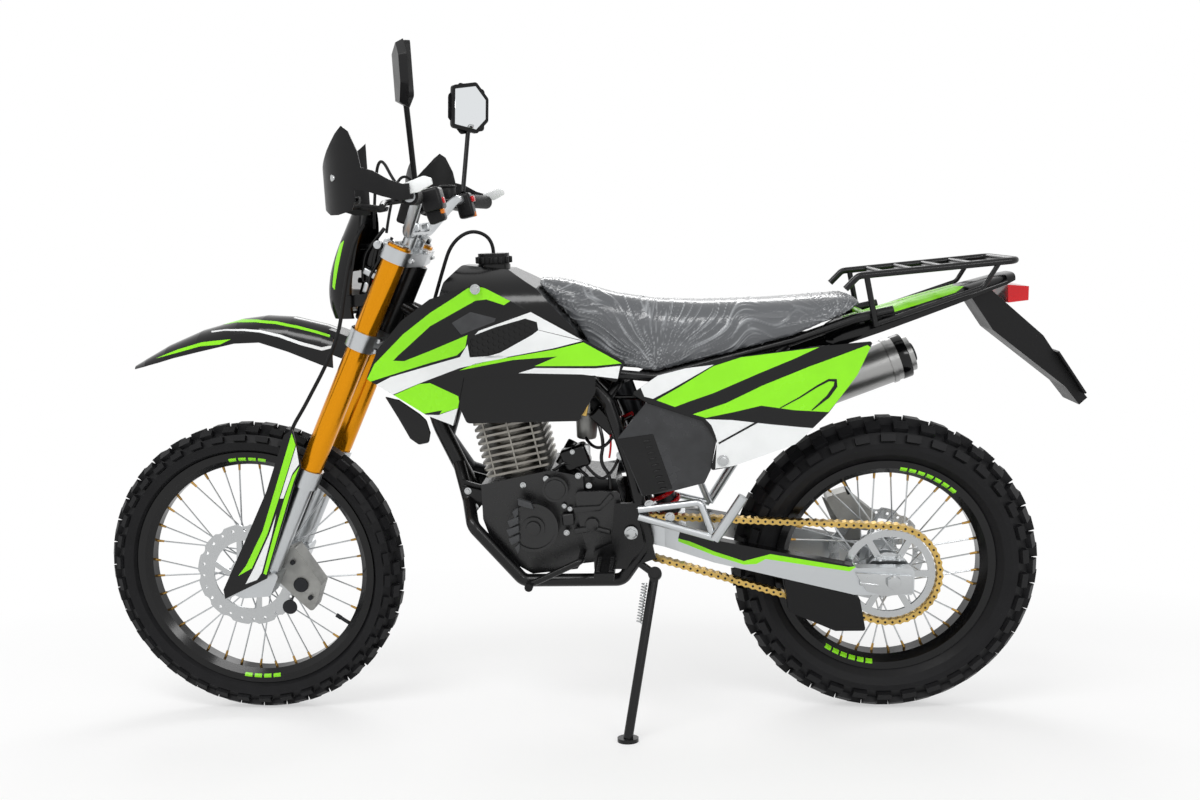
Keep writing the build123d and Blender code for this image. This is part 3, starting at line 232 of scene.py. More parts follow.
class Paint:
    """Makes each material once and hands it out by name."""

    COAT_ROUGH = 0.08
    GRAIN_DETAIL = 3.0
    CLOUD_SCALE = 22.0
    CLOUD_DETAIL = 4.0
    SMOOTHEST = 0.02
    SHADE_STOPS = (0.35, 0.6)
    # Where the fold colour starts and ends, a painted highlight on the seat film's creases
    FOLD_HIGHLIGHT_STOPS = (0.15, 1.0)

    def __init__(self) -> None:
        self._made: dict[str, bpy.types.Material] = {}

    def get(self, name: str) -> bpy.types.Material:
        """Return the material of that finish, made when first asked for."""
        if name not in self._made:
            self._made[name] = self._make(name, FINISHES[name])
        return self._made[name]

    @staticmethod
    def _ramp(
        tree: bpy.types.NodeTree, driver: bpy.types.NodeSocket, stops: tuple[float, ...], colours: tuple[Colour, ...]
    ) -> bpy.types.NodeSocket:
        """Return a socket that runs between two colours as its driver goes from one stop to the other.

        Args:
            tree: The node tree.
            driver: What drives the colour.
            stops: Where the run starts and ends.
            colours: The colours at the two stops.

        Returns:
            The colour's socket.
        """
        ramp = add_node(tree, "ValToRGB", links={"Fac": driver})
        for element, position, colour in zip(ramp.color_ramp.elements, stops, colours):
            element.color = colour
            element.position = position
        return ramp.outputs["Color"]

    def _make(self, name: str, finish: Finish) -> bpy.types.Material:
        """Build one material from its finish.

        Args:
            name: Its name.
            finish: How it answers light.

        Returns:
            The material.
        """
        material = bpy.data.materials.new(name)
        material.use_nodes = True
        tree = material.node_tree
        shader = tree.nodes["Principled BSDF"].inputs
        base = linear(finish.tone.value)
        shader["Base Color"].default_value = base
        shader["Roughness"].default_value = finish.rough
        shader["Metallic"].default_value = finish.metal
        shader["Specular IOR Level"].default_value = finish.shine
        shader["Coat Weight"].default_value = finish.coat
        shader["Coat Roughness"].default_value = self.COAT_ROUGH
        place = add_node(tree, "TexCoord").outputs["Object"]
        if finish.grain > 0:
            drawn = add_node(tree, "Mapping", {"Scale": (1.0 / finish.pull, 1.0, 1.0)}, {"Vector": place})
            size = {"Scale": METRE / finish.grain_mm, "Detail": self.GRAIN_DETAIL}
            grain = add_node(tree, "TexNoise", size, {"Vector": drawn.outputs["Vector"]})
            depth = {"Strength": finish.grain, "Distance": MM}
            bump = add_node(tree, "Bump", depth, {"Height": grain.outputs["Fac"]})
            tree.links.new(bump.outputs["Normal"], shader["Normal"])
        size = {"Scale": self.CLOUD_SCALE, "Detail": self.CLOUD_DETAIL}
        cloud = add_node(tree, "TexNoise", size, {"Vector": place}).outputs["Fac"]
        if finish.mottle > 0:
            low = max(self.SMOOTHEST, finish.rough - finish.mottle)
            high = min(1.0, finish.rough + finish.mottle)
            spread = add_node(tree, "MapRange", {"To Min": low, "To Max": high}, {"Value": cloud})
            tree.links.new(spread.outputs["Result"], shader["Roughness"])
        # The fold attribute brings in the second colour, a painted highlight along the creases
        if finish.second is not None:
            fold = add_node(tree, "Attribute", {"attribute_name": "fold"}).outputs["Fac"]
            colour = self._ramp(tree, fold, self.FOLD_HIGHLIGHT_STOPS, (base, linear(finish.second.value)))
            tree.links.new(colour, shader["Base Color"])
        elif finish.shade > 0:
            dark = (*(c * (1.0 - finish.shade) for c in base[:3]), 1.0)
            colour = self._ramp(tree, cloud, self.SHADE_STOPS, (dark, base))
            tree.links.new(colour, shader["Base Color"])
        return material


NODES_BY_FINISH: dict[str, tuple[str, ...]] = {
    "powder_black_steel": (
        "frame", "subframe", "rear_rack", "footpegs", "foot_controls", "side_stand", "control_levers",
    ),
    "engine_black": ("engine_cases", "engine_covers"),
    "finned_aluminium": ("engine_cylinder",),
    "plated_steel": (
        "front_sprocket", "pivot_bolt", "rear_axle", "front_axle", "front_disc", "rear_disc", "rear_sprocket",
    ),
    "grained_black_pp": ("carburettor", "fuel_cap", "plate_holder", "chain_guide", "handguards", "mirrors"),
    "dark_steel": ("exhaust_pipe", "rear_shock"),
    "silencer_steel": ("silencer",),
    "gloss_black_abs": (
        "fuel_tank", "tail_fender", "fork_guards", "front_fender", "headlamp_mask", "front_rim", "rear_rim",
    ),
    "black_film": ("shrouds", "side_panels"),
    "film_on_vinyl": ("seat",),
    "smoked_cover": ("side_covers",),
    "red_lens": ("tail_lamp",),
    "brushed_aluminium": (
        "swingarm", "passenger_pegs", "fork_clamps", "fork_legs", "handlebar", "front_hub", "rear_hub",
    ),
    "plated_gold": ("chain",),
    "cast_aluminium": ("rear_caliper", "front_caliper"),
    "grip_rubber": ("vent_hose", "grips"),
    "anodised_gold": ("fork_tubes",),
    "lamp_glass": ("headlamp",),
    "tyre_rubber": ("front_tyre", "rear_tyre"),
}
NODE_FINISH = {node: finish for finish, nodes in NODES_BY_FINISH.items() for node in nodes}


def clear() -> None:
    """Deselect everything."""
    bpy.ops.object.select_all(action="DESELECT")


def pick(item: bpy.types.Object) -> None:
    """Select one piece alone and make it the active one."""
    clear()
    item.select_set(True)
    bpy.context.view_layer.objects.active = item


def modify(item: bpy.types.Object, kind: str, **settings: object) -> None:
    """Put a modifier on a piece and apply it.

    Args:
        item: The piece.
        kind: Blender's name of the modifier.
        **settings: Its values by property name.
    """
    modifier = item.modifiers.new(kind.lower(), kind)
    for name, value in settings.items():
        setattr(modifier, name, value)
    bpy.context.view_layer.objects.active = item
    bpy.ops.object.modifier_apply(modifier=modifier.name)


def soften(item: bpy.types.Object, width: float, segments: int = 2) -> bpy.types.Object:
    """Bevel a piece's edges, unless the width is nought, and return it.

    Args:
        item: The piece.
        width: Width of the bevel.
        segments: How many facets it has.

    Returns:
        The same piece.
    """
    if width > 0:
        modify(item, "BEVEL", width=width * MM, segments=segments, limit_method="ANGLE")
    return item


@dataclass(frozen=True)
class Bar:
    """A round bar between two points of the upright machine.

    Attributes:
        start: Its first end.
        end: Its other end.
        radius: Its radius at the start.
        sides: How many sides it has.
        bevel: Width of the bevel on its edges.
        tip: Its radius at the end, where that differs.
    """

    start: Point | Vector
    end: Point | Vector
    radius: float
    sides: int = 20
    bevel: float = 0.0
    tip: float | None = None

    def make(self) -> bpy.types.Object:
        """Make the bar."""
        clear()
        start, end = Vector(self.start), Vector(self.end)
        axis = end - start
        bpy.ops.mesh.primitive_cone_add(
            vertices=self.sides,
            radius1=self.radius * MM,
            radius2=(self.radius if self.tip is None else self.tip) * MM,
            depth=axis.length * MM,
            location=(start + end) / 2 * MM,
            rotation=axis.to_track_quat("Z", "Y").to_euler(),
        )
        bpy.ops.object.transform_apply(location=True, rotation=True, scale=True)
        return soften(bpy.context.object, self.bevel)


@dataclass(frozen=True)
class Plate:
    """A plate between two distances to the left.

    Attributes:
        outline: Its corners in the side view.
        left: Its left face.
        right: Its right face.
        bevel: Width of the bevel on its edges.
    """

    outline: Outline
    left: float
    right: float
    bevel: float = 0.0

    def make(self) -> bpy.types.Object:
        """Make the plate."""
        clear()
        bpy.ops.mesh.primitive_circle_add(vertices=len(self.outline), fill_type="NGON")
        item = bpy.context.object
        for vertex, (x, z) in zip(item.data.vertices, self.outline):
            vertex.co = Vector((x, self.left, z)) * MM
        move = {"value": (0.0, (self.right - self.left) * MM, 0.0)}
        bpy.ops.object.mode_set(mode="EDIT")
        bpy.ops.mesh.select_all(action="SELECT")
        bpy.ops.mesh.extrude_region_move(TRANSFORM_OT_translate=move)
        bpy.ops.mesh.select_all(action="SELECT")
        bpy.ops.mesh.normals_make_consistent(inside=False)
        bpy.ops.object.mode_set(mode="OBJECT")
        return soften(item, self.bevel)


@dataclass(frozen=True)
class Block:
    """A bevelled block.

    Attributes:
        centre: Its middle.
        size: Its length, width and height.
        turn: Its turn in the side view, in degrees.
        bevel: Width of the bevel on its edges.
    """

    centre: Point
    size: Point
    turn: float = 0.0
    bevel: float = 3.0

    def make(self) -> bpy.types.Object:
        """Make the block."""
        clear()
        turn = (0.0, math.radians(self.turn), 0.0)
        place, size = Vector(self.centre) * MM, Vector(self.size) * MM
        bpy.ops.mesh.primitive_cube_add(size=1.0, location=place, rotation=turn, scale=size)
        bpy.ops.object.transform_apply(location=True, rotation=True, scale=True)
        return soften(bpy.context.object, self.bevel, 3)


@dataclass(frozen=True)
class Line:
    """A smooth round line.

    Attributes:
        points: Its control points.
        radius: Its radius.
        sides: Resolution of its round section.
    """

    points: tuple[Point, ...]
    radius: float
    sides: int = 3
    ORDER = 3
    STEPS = 8

    def curve(self, name: str) -> bpy.types.Object:
        """Add the line as a NURBS curve with a round section and return its object.

        Args:
            name: Name of the curve.

        Returns:
            The curve's object.
        """
        data = bpy.data.curves.new(name, "CURVE")
        data.dimensions = "3D"
        data.bevel_depth = 1.0
        data.bevel_resolution = self.sides
        data.use_fill_caps = True
        data.resolution_u = self.STEPS
        spline = data.splines.new("NURBS")
        spline.points.add(len(self.points) - 1)
        for knot, place in zip(spline.points, self.points):
            knot.co = (*(Vector(place) * MM), 1.0)
            knot.radius = self.radius * MM
        spline.order_u = self.ORDER
        spline.use_endpoint_u = True
        item = bpy.data.objects.new(name, data)
        bpy.context.collection.objects.link(item)
        return item

    def make(self) -> bpy.types.Object:
        """Make the line as a mesh."""
        pick(self.curve("line"))
        bpy.ops.object.convert(target="MESH")
        return bpy.context.object


Shape = Bar | Plate | Block | Line


def ring(centre: Point, radius: float, count: int, first: float, head: tuple[float, float, float]) -> list[Bar]:
    """Set six-sided heads in a circle that faces left or right.

    Args:
        centre: The middle of the circle.
        radius: Its radius.
        count: How many heads it has.
        first: Where the first one is, in degrees.
        head: Length to the left, radius and bevel of a head.

    Returns:
        The heads.
    """
    x, y, z = centre
    length, size, edge = head
    bars = []
    for number in range(count):
        angle = math.radians(360 / count * number + first)
        root = Vector((x + radius * math.cos(angle), y, z + radius * math.sin(angle)))
        bars.append(Bar(root, root + Vector((0.0, length, 0.0)), size, 6, edge))
    return bars


class Bench:
    """Joins, mirrors, parks and dresses what the sub-assemblies are made of."""

    CREASE = 32.0

    def __init__(self, nodes: dict[str, bpy.types.Object], paint: Paint) -> None:
        self.nodes = nodes
        self.paint = paint

    def borrow(self, node: str, name: str, weld: float = 0.02) -> bpy.types.Object:
        """Return a copy of a carried-over solid, its faces welded to each other.

        Args:
            node: The solid.
            name: Name of the copy.
            weld: How near corners are joined, in millimetres.

        Returns:
            The copy, in the parked frame.
        """
        item = bpy.data.objects.new(name, self.nodes[node].data.copy())
        bpy.context.collection.objects.link(item)
        clear()
        item.select_set(True)
        modify(item, "WELD", merge_threshold=weld * MM)
        return item

    @staticmethod
    def copies(source: bpy.types.Object, places: list[Matrix]) -> bpy.types.Object:
        """Turn a piece into as many copies of itself as there are places, in one mesh.

        Args:
            source: The piece.
            places: Where each copy goes.

        Returns:
            The same piece.
        """
        mesh = bmesh.new()
        for place in places:
            start = len(mesh.verts)
            mesh.from_mesh(source.data)
            mesh.verts.ensure_lookup_table()
            bmesh.ops.transform(mesh, matrix=place, verts=mesh.verts[start:])
        mesh.to_mesh(source.data)
        mesh.free()
        return source

    @staticmethod
    def join(name: str, items: list[bpy.types.Object]) -> bpy.types.Object:
        """Join pieces into one and name it.

        Args:
            name: Name of the result.
            items: The pieces, of which the first one stays.

        Returns:
            The joined piece.
        """
        clear()
        for item in items:
            item.select_set(True)
        bpy.context.view_layer.objects.active = items[0]
        if len(items) > 1:
            bpy.ops.object.join()
        items[0].name = name
        return items[0]

    def dress(self, item: bpy.types.Object, finish: str) -> None:
        """Give a piece one material in place of all it has."""
        item.data.materials.clear()
        item.data.materials.append(self.paint.get(finish))

    def finish(
        self,
        name: str,
        items: list[bpy.types.Object],
        body: str,
        finish: str,
        stand: Matrix = PARKED,
        crease: float = CREASE,
    ) -> bpy.types.Object:
        """Join pieces, stand them with the machine, dress them and let them ride.

        Args:
            name: Name of the finished piece.
            items: What it is made of.
            body: The body it moves with.
            finish: Its material.
            stand: How it gets to its place, from the upright machine as a rule.
            crease: Angle in degrees from which its edges stay sharp.

        Returns:
            The finished piece.
        """
        item = self.join(name, items)
        item.data.transform(stand @ item.matrix_world)
        item.matrix_world = Matrix.Identity(4)
        item.data.update()
        pick(item)
        bpy.ops.object.shade_smooth_by_angle(angle=math.radians(crease))
        self.dress(item, finish)
        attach(item, body)
        log.info("%s: %d faces", name, len(item.data.polygons))
        return item

    def make(
        self, name: str, finish: str, shapes: Iterable[Shape], body: str = "chassis", both: bool = False
    ) -> bpy.types.Object:
        """Make a finished piece from simple shapes.

        Args:
            name: Its name.
            finish: Its material.
            shapes: What it is made of, in the upright machine.
            body: The body it moves with.
            both: Whether the right side has the same.

        Returns:
            The finished piece.
        """
        item = self.join(name, [shape.make() for shape in shapes])
        if both:
            modify(item, "MIRROR", use_axis=(False, True, False), use_mirror_merge=False)
        return self.finish(name, [item], body, finish)


@dataclass(frozen=True)
class Film:
    """A piece of film graphics, of one finish and on one panel.

    Attributes:
        name: Its name.
        node: The panel it is stuck on, on both sides of the machine.
        finish: Its material.
        outlines: What it is cut to in the side view, in millimetres.
        body: The body it moves with.
        lift: How far it stands off the panel.
    """

    name: str
    node: str
    finish: str
    outlines: tuple[Outline, ...]
    body: str = "chassis"
    lift: float = 0.35


class Graphics:
    """Cuts film to its outline and presses it on the panels."""

    NEAR = 2.0
    FAR_OUT = 600.0
    RIM_LIFT = 0.12
    CREASE = 30.0

    def __init__(self, bench: Bench) -> None:
        self.bench = bench
        self.skins: dict[tuple[str, int, float], bpy.types.Object] = {}

    def skin(self, node: str, way: int, lift: float) -> bpy.types.Object:
        """Return a copy of a panel, moved out a hair so that film cut from it covers the outer face.

        Args:
            node: The panel.
            way: 1 for the left side and -1 for the right.
            lift: How far the film stands off the panel, in millimetres.

        Returns:
            The copy, in the parked frame.
        """
        key = (node, way, lift)
        if key not in self.skins:
            item = self.bench.borrow(node, f"skin_of_{node}")
            outward = PARKED.to_3x3() @ Vector((0.0, way * lift * MM, 0.0))
            normals = [vertex.normal.copy() for vertex in item.data.vertices]
            for vertex, normal in zip(item.data.vertices, normals):
                vertex.co = vertex.co + outward + normal * self.RIM_LIFT * MM
            self.skins[key] = item
        return self.skins[key]

    def press(self, film: Film, outline: Outline, way: int) -> bpy.types.Object | None:
        """Cut one outline out of one side of its panel's skin.

        Args:
            film: What it belongs to.
            outline: Its corners in the side view.
            way: 1 for the left side and -1 for the right.

        Returns:
            The film in the parked frame, or nothing where no panel is met.
        """
        cutter = Plate(outline, way * self.NEAR, way * self.FAR_OUT).make()
        cutter.data.transform(PARKED)
        skin = self.skin(film.node, way, film.lift)
        modify(cutter, "BOOLEAN", operation="INTERSECT", solver="EXACT", object=skin)
        if cutter.data.polygons:
            return cutter
        bpy.data.objects.remove(cutter, do_unlink=True)
        return None

    def lay(self, film: Film) -> None:
        """Press all outlines of a film on both sides and let it ride.

        Args:
            film: What to press.
        """
        pressed = [self.press(film, outline, way) for outline in film.outlines for way in (1, -1)]
        found = [item for item in pressed if item is not None]
        self.bench.finish(film.name, found, film.body, film.finish, Matrix.Identity(4), self.CREASE)

    def clear_up(self) -> None:
        """Take the skins away again."""
        for item in self.skins.values():
            bpy.data.objects.remove(item, do_unlink=True)
        self.skins.clear()


@dataclass
class Bodywork:
    """Film on the shrouds, side panels, tail, fender, mask, fork guards, swingarm and rims."""

    bench: Bench
    shroud_top: Outline = (
        (376, 812), (360, 842), (299, 901), (240, 944), (188, 974), (159, 992), (140, 996), (120, 990), (70, 964),
        (85, 955), (121, 968), (144, 966), (242, 916), (312, 857), (322, 847), (300, 845), (246, 864), (165, 895),
        (171, 869), (190, 853), (247, 839), (322, 819), (370, 806),
    )
    shroud_white_front: Outline = (
        (365, 796), (329, 813), (248, 833), (184, 849), (166, 875), (163, 848), (100, 850), (83, 846), (186, 826),
        (197, 822), (273, 796), (334, 773),
    )
    shroud_white_top: Outline = (
        (149, 895), (141, 903), (30, 939), (-76, 877), (16, 902), (18, 918), (42, 926), (105, 910),
    )
    shroud_white_mid: Outline = (
        (-74, 876), (-12, 862), (83, 847), (136, 846), (98, 856), (30, 891), (16, 901),
    )
    shroud_green_mid: Outline = (
        (331, 772), (273, 795), (250, 796), (192, 766), (190, 742), (234, 729), (228, 737), (268, 731), (288, 743),
    )
    shroud_white_low: Outline = ((266, 729), (236, 727), (195, 740), (207, 703), (212, 706))
    shroud_green_rear: Outline = (
        (186, 821), (151, 835), (-18, 860), (-77, 873), (-155, 827), (-100, 823), (27, 826), (-21, 845), (73, 840),
    )
    shroud_white_rear: Outline = ((62, 812), (27, 822), (-100, 818), (-152, 822), (-146, 795), (-71, 806))
    # Thin dark line along the shroud's crease, painted shade
    shroud_crease_shade: Outline = ((200, 926), (197, 922), (178, 893), (181, 892))
    shroud_inset: Outline = ((197, 921), (156, 943), (103, 928), (107, 921), (178, 896))
    panel_white_top: Outline = (
        (-190, 782), (-192, 797), (-230, 800), (-288, 814), (-345, 820), (-284, 786), (-255, 770), (-218, 751),
        (-200, 756),
    )
    panel_green_top: Outline = (
        (-225, 748), (-277, 777), (-344, 817), (-401, 834), (-560, 850), (-507, 827), (-438, 800), (-344, 761),
        (-293, 744), (-263, 733),
    )
    panel_green_low: Outline = (
        (-300, 717), (-369, 739), (-444, 774), (-538, 810), (-660, 850), (-666, 845), (-662, 826), (-650, 801),
        (-580, 714), (-507, 721), (-441, 732), (-381, 719), (-326, 709),
    )
    panel_white_low: Outline = (
        (-326, 706), (-381, 703), (-460, 692), (-549, 681), (-507, 645), (-443, 618), (-372, 603), (-345, 600),
        (-349, 660), (-346, 672), (-338, 693),
    )
    # Thin dark line along the side panel's crease, painted shade
    panel_crease_shade: Outline = ((-352, 656), (-431, 699), (-434, 696), (-353, 652))
    tail_stripe: Outline = (
        (-619, 894), (-641, 911), (-699, 933), (-770, 951), (-875, 958), (-852, 946), (-706, 904),
    )
    fender_green: Outline = (
        (796, 914), (749, 925), (702, 931), (656, 931), (610, 926), (565, 916), (521, 903), (492, 893), (492, 888),
        (521, 898), (566, 911), (611, 921), (656, 926), (702, 926), (744, 920), (792, 911),
    )
    fender_white: Outline = (
        (761, 909), (724, 913), (677, 913), (641, 910), (596, 899), (552, 882), (507, 868), (486, 871), (486, 865),
        (506, 861), (552, 875), (597, 893), (641, 905), (678, 909), (724, 910), (757, 906),
    )
    fender_tip: Outline = (
        (894, 851), (836, 871), (778, 886), (750, 889), (706, 892), (732, 881), (779, 878), (837, 864),
    )
    mask_green: Outline = ((433, 1098), (444, 1053), (459, 994), (465, 1000), (456, 1053), (446, 1090))
    mask_edge: Outline = (
        (436, 1102), (449, 1088), (459, 1053), (470, 994), (482, 935), (490, 935), (484, 1000), (468, 1080),
        (450, 1110),
    )
    swing_black: Outline = (
        (-269, 453), (-312, 449), (-363, 440), (-451, 426), (-563, 399), (-645, 373), (-626, 371), (-461, 402),
        (-404, 387), (-289, 428), (-264, 433),
    )
    swing_green: Outline = (
        (-264, 433), (-289, 428), (-404, 387), (-461, 402), (-626, 371), (-645, 372), (-629, 361), (-451, 391),
        (-431, 380), (-404, 379), (-289, 418), (-264, 426),
    )
    guard_green: tuple[Outline, ...] = (
        ((383, 57), (362, 40), (250, 32), (150, 26), (60, 30), (30, 52), (60, 44), (150, 38), (250, 46)),
        ((322, 15), (284, 15), (160, 4), (60, -5), (60, 2), (150, 12), (240, 20), (296, 22)),
    )
    guard_white: tuple[Outline, ...] = (
        ((360, 38), (326, 18), (300, 24), (240, 22), (236, 29)),
        ((200, 24), (150, 16), (60, 6), (40, 10), (20, 30), (60, 26), (150, 22)),
    )
    hook_line: Outline = (
        (-480, 726), (-520, 747), (-556, 769), (-580, 781), (-594, 780), (-594, 768), (-579, 747), (-545, 719),
    )
    hook_widths: tuple[float, ...] = (2.0, 3.0, 4.0, 5.0, 7.0, 8.0, 7.0, 2.0)
    crease_lift: float = 0.8
    dash_step: int = 5
    dash_corners: tuple[float, ...] = (0.0, 2.0, 3.8)

    def hook(self) -> tuple[Outline, ...]:
        """Return the thin hooked line on the rear of the side panels, as short strips."""
        line = self.hook_line
        outer = []
        inner = []
        for number, (x, z) in enumerate(line):
            before = line[max(0, number - 1)]
            after = line[min(len(line) - 1, number + 1)]
            way = Vector((after[0] - before[0], after[1] - before[1])).normalized()
            half = self.hook_widths[number] / 2
            outer.append((x - way.y * half, z + way.x * half))
            inner.append((x + way.y * half, z - way.x * half))
        return tuple((outer[n], outer[n + 1], inner[n + 1], inner[n]) for n in range(len(line) - 1))

    def dashes(self, centre: Vector, inner: float, outer: float, arcs: tuple[Flat, ...]) -> tuple[Outline, ...]:
        """Return the short dashes round a rim.

        Args:
            centre: The wheel's axle.
            inner: Radius of the dashes' inner edge.
            outer: Radius of their outer edge.
            arcs: Where each row starts and ends, in degrees.

        Returns:
            The outline of each dash.
        """
        found = []
        for low, high in arcs:
            for start in range(low, high, self.dash_step):
                arc = [math.radians(start + corner) for corner in self.dash_corners]
                corners = [(inner, place) for place in arc] + [(outer, place) for place in reversed(arc)]
                found.append(tuple((centre.x + r * math.cos(a), centre.z + r * math.sin(a)) for r, a in corners))
        return tuple(found)

    def films(self) -> tuple[Film, ...]:
        """Return every film, panel by panel."""
        lime, white, grey, black = "lime_film", "white_film", "grey_film", "black_film"
        shroud_green = (self.shroud_top, self.shroud_green_mid, self.shroud_green_rear)
        shroud_white = (
            self.shroud_white_front, self.shroud_white_top, self.shroud_white_mid, self.shroud_white_low,
            self.shroud_white_rear,
        )
        lift = self.crease_lift
        guard_green = tuple(tuple(fork_flat(*corner) for corner in shape) for shape in self.guard_green)
        guard_white = tuple(tuple(fork_flat(*corner) for corner in shape) for shape in self.guard_white)
        front_dashes = self.dashes(FRONT_AXLE, 260.0, 268.0, ((82, 98), (262, 278)))
        rear_dashes = self.dashes(REAR_AXLE, 221.0, 230.0, ((98, 130), (276, 306)))
        return (
            Film("shroud_green_film", "shrouds", lime, shroud_green),
            Film("shroud_white_film", "shrouds", white, shroud_white),
            Film("shroud_grey_film", "shrouds", grey, (self.shroud_inset,)),
            # The crease films are dark lines of painted shade along the panels' creases
            Film("shroud_crease_painted_shade", "shrouds", black, (self.shroud_crease_shade,), lift=lift),
            Film("panel_green_film", "side_panels", lime, (self.panel_green_top, self.panel_green_low)),
            Film("panel_white_film", "side_panels", white, (self.panel_white_top, self.panel_white_low)),
            # Dark line of painted shade along the side panel's crease
            Film("panel_crease_painted_shade", "side_panels", black, (self.panel_crease_shade,), lift=lift),
            Film("panel_hook_film", "side_panels", black, self.hook(), lift=lift),
            Film("tail_green_film", "tail_fender", lime, (self.tail_stripe,)),
            Film("fender_green_film", "front_fender", lime, (self.fender_green, self.fender_tip), "steering"),
            Film("fender_white_film", "front_fender", white, (self.fender_white,), "steering"),
            Film("mask_green_film", "headlamp_mask", lime, (self.mask_green,), "steering"),
            Film("mask_silver_edge", "headlamp_mask", grey, (self.mask_edge,), "steering"),
            Film("guard_green_film", "fork_guards", lime, guard_green, "steering"),
            Film("guard_white_film", "fork_guards", white, guard_white, "steering"),
            Film("swingarm_black_film", "swingarm", black, (self.swing_black,)),
            Film("swingarm_green_film", "swingarm", lime, (self.swing_green,)),
            Film("front_rim_dashes", "front_rim", lime, front_dashes, "front_wheel"),
            Film("rear_rim_dashes", "rear_rim", lime, rear_dashes, "rear_wheel"),
        )

    def build(self) -> None:
        """Dress every panel."""
        graphics = Graphics(self.bench)
        for film in self.films():
            graphics.lay(film)
        graphics.clear_up()


@dataclass(frozen=True)
class Crease:
    """One size of crease in the seat's film, round the points from which it is pulled.

    Attributes:
        across: How close together the creases stand.
        apart: How far the noise is shifted from one point to the next.
        along: How fast they change along their length.
        seed: How far the noise is shifted from side to side.
        sharp: How narrow they are.
        share: How high they stand.
    """

    across: float
    apart: float
    along: float
    seed: float
    sharp: float
    share: float

    def height(self, turn: float, reach: float, number: int, side: float) -> float:
        """Return how far a crease stands up in a direction and distance from a point."""
        spot = Vector((turn * self.across + number * self.apart, reach * self.along, side * self.seed))
        return max(0.0, 1.0 - abs(noise.noise(spot)) * self.sharp) * self.share


@dataclass
class WrappedSeat:
    """The seat in the crumpled clear film it is delivered in."""

    bench: Bench
    voxel: float = 5.0
    weld: float = 0.1
    fold_height: float = 3.0
    sunk: float = 1.0
    pulls: tuple[Flat, ...] = ((-225, 806), (-600, 905), (10, 960))
    pull_reach: tuple[float, ...] = (380.0, 120.0, 120.0)
    pull_height: float = 1.6
    broad: Crease = Crease(9.0, 9.0, 0.004, 3.0, 11.0, 0.8)
    fine: Crease = Crease(21.0, 5.0, 0.009, 5.0, 9.0, 0.5)
    bend: float = 0.22
    wander: float = 0.012
    streak: float = 0.3
    streak_size: Point = (0.005, 0.03, 0.03)

    def crumple(self, place: Vector, side: float) -> float:
        """Return how far a fold stands up at a place, from 0 to 1.

        Args:
            place: Where, in millimetres of the upright machine.
            side: Which side of the seat, so that the two differ.

        Returns:
            The height of the fold.
        """
        height = 0.0
        for number, (x, z) in enumerate(self.pulls):
            reach = math.hypot(place.z - z, place.x - x)
            bend = noise.noise(Vector((reach * self.wander, number * 3.0, side * 7.0))) * self.bend
            turn = math.atan2(place.z - z, place.x - x) + bend
            spot = Vector((place.x * self.wander, place.z * self.wander, number + side))
            part = 0.5 + 0.5 * noise.noise(spot)
            ridge = self.broad.height(turn, reach, number, side) + self.fine.height(turn, reach, number, side)
            far = reach / self.pull_reach[number]
            height = max(height, ridge * part * math.exp(-far * far) * self.pull_height)
        streak = noise.noise(Vector([along * size for along, size in zip(place, self.streak_size)]))
        return min(1.0, max(height, self.streak * max(0.0, streak)))

    def build(self) -> None:
        """Pad the seat and crumple its film."""
        item = self.bench.borrow("seat", "seat_in_film", self.weld)
        modify(item, "REMESH", mode="VOXEL", voxel_size=self.voxel * MM)
        modify(item, "SMOOTH", factor=0.5, iterations=5)
        modify(item, "SUBSURF", levels=1, render_levels=1)
        upright = PARKED.inverted()
        fold = item.data.attributes.new("fold", "FLOAT", "POINT")
        normals = [Vector(vertex.normal) for vertex in item.data.vertices]
        for vertex, normal in zip(item.data.vertices, normals):
            place = (upright @ vertex.co) * METRE
            height = self.crumple(place, 1.0 if place.y > 0 else -1.0)
            # The fold height also turns the film pale along the creases, a painted highlight
            fold.data[vertex.index].value = height
            vertex.co = vertex.co + normal * (height * self.fold_height - self.sunk) * MM
        item.data.update()
        bpy.context.view_layer.objects.active = item
        bpy.ops.object.shade_smooth()
        self.bench.dress(item, "film_on_vinyl")
        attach(item, "chassis")
        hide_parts("seat")
        log.info("seat_in_film: %d faces", len(item.data.polygons))


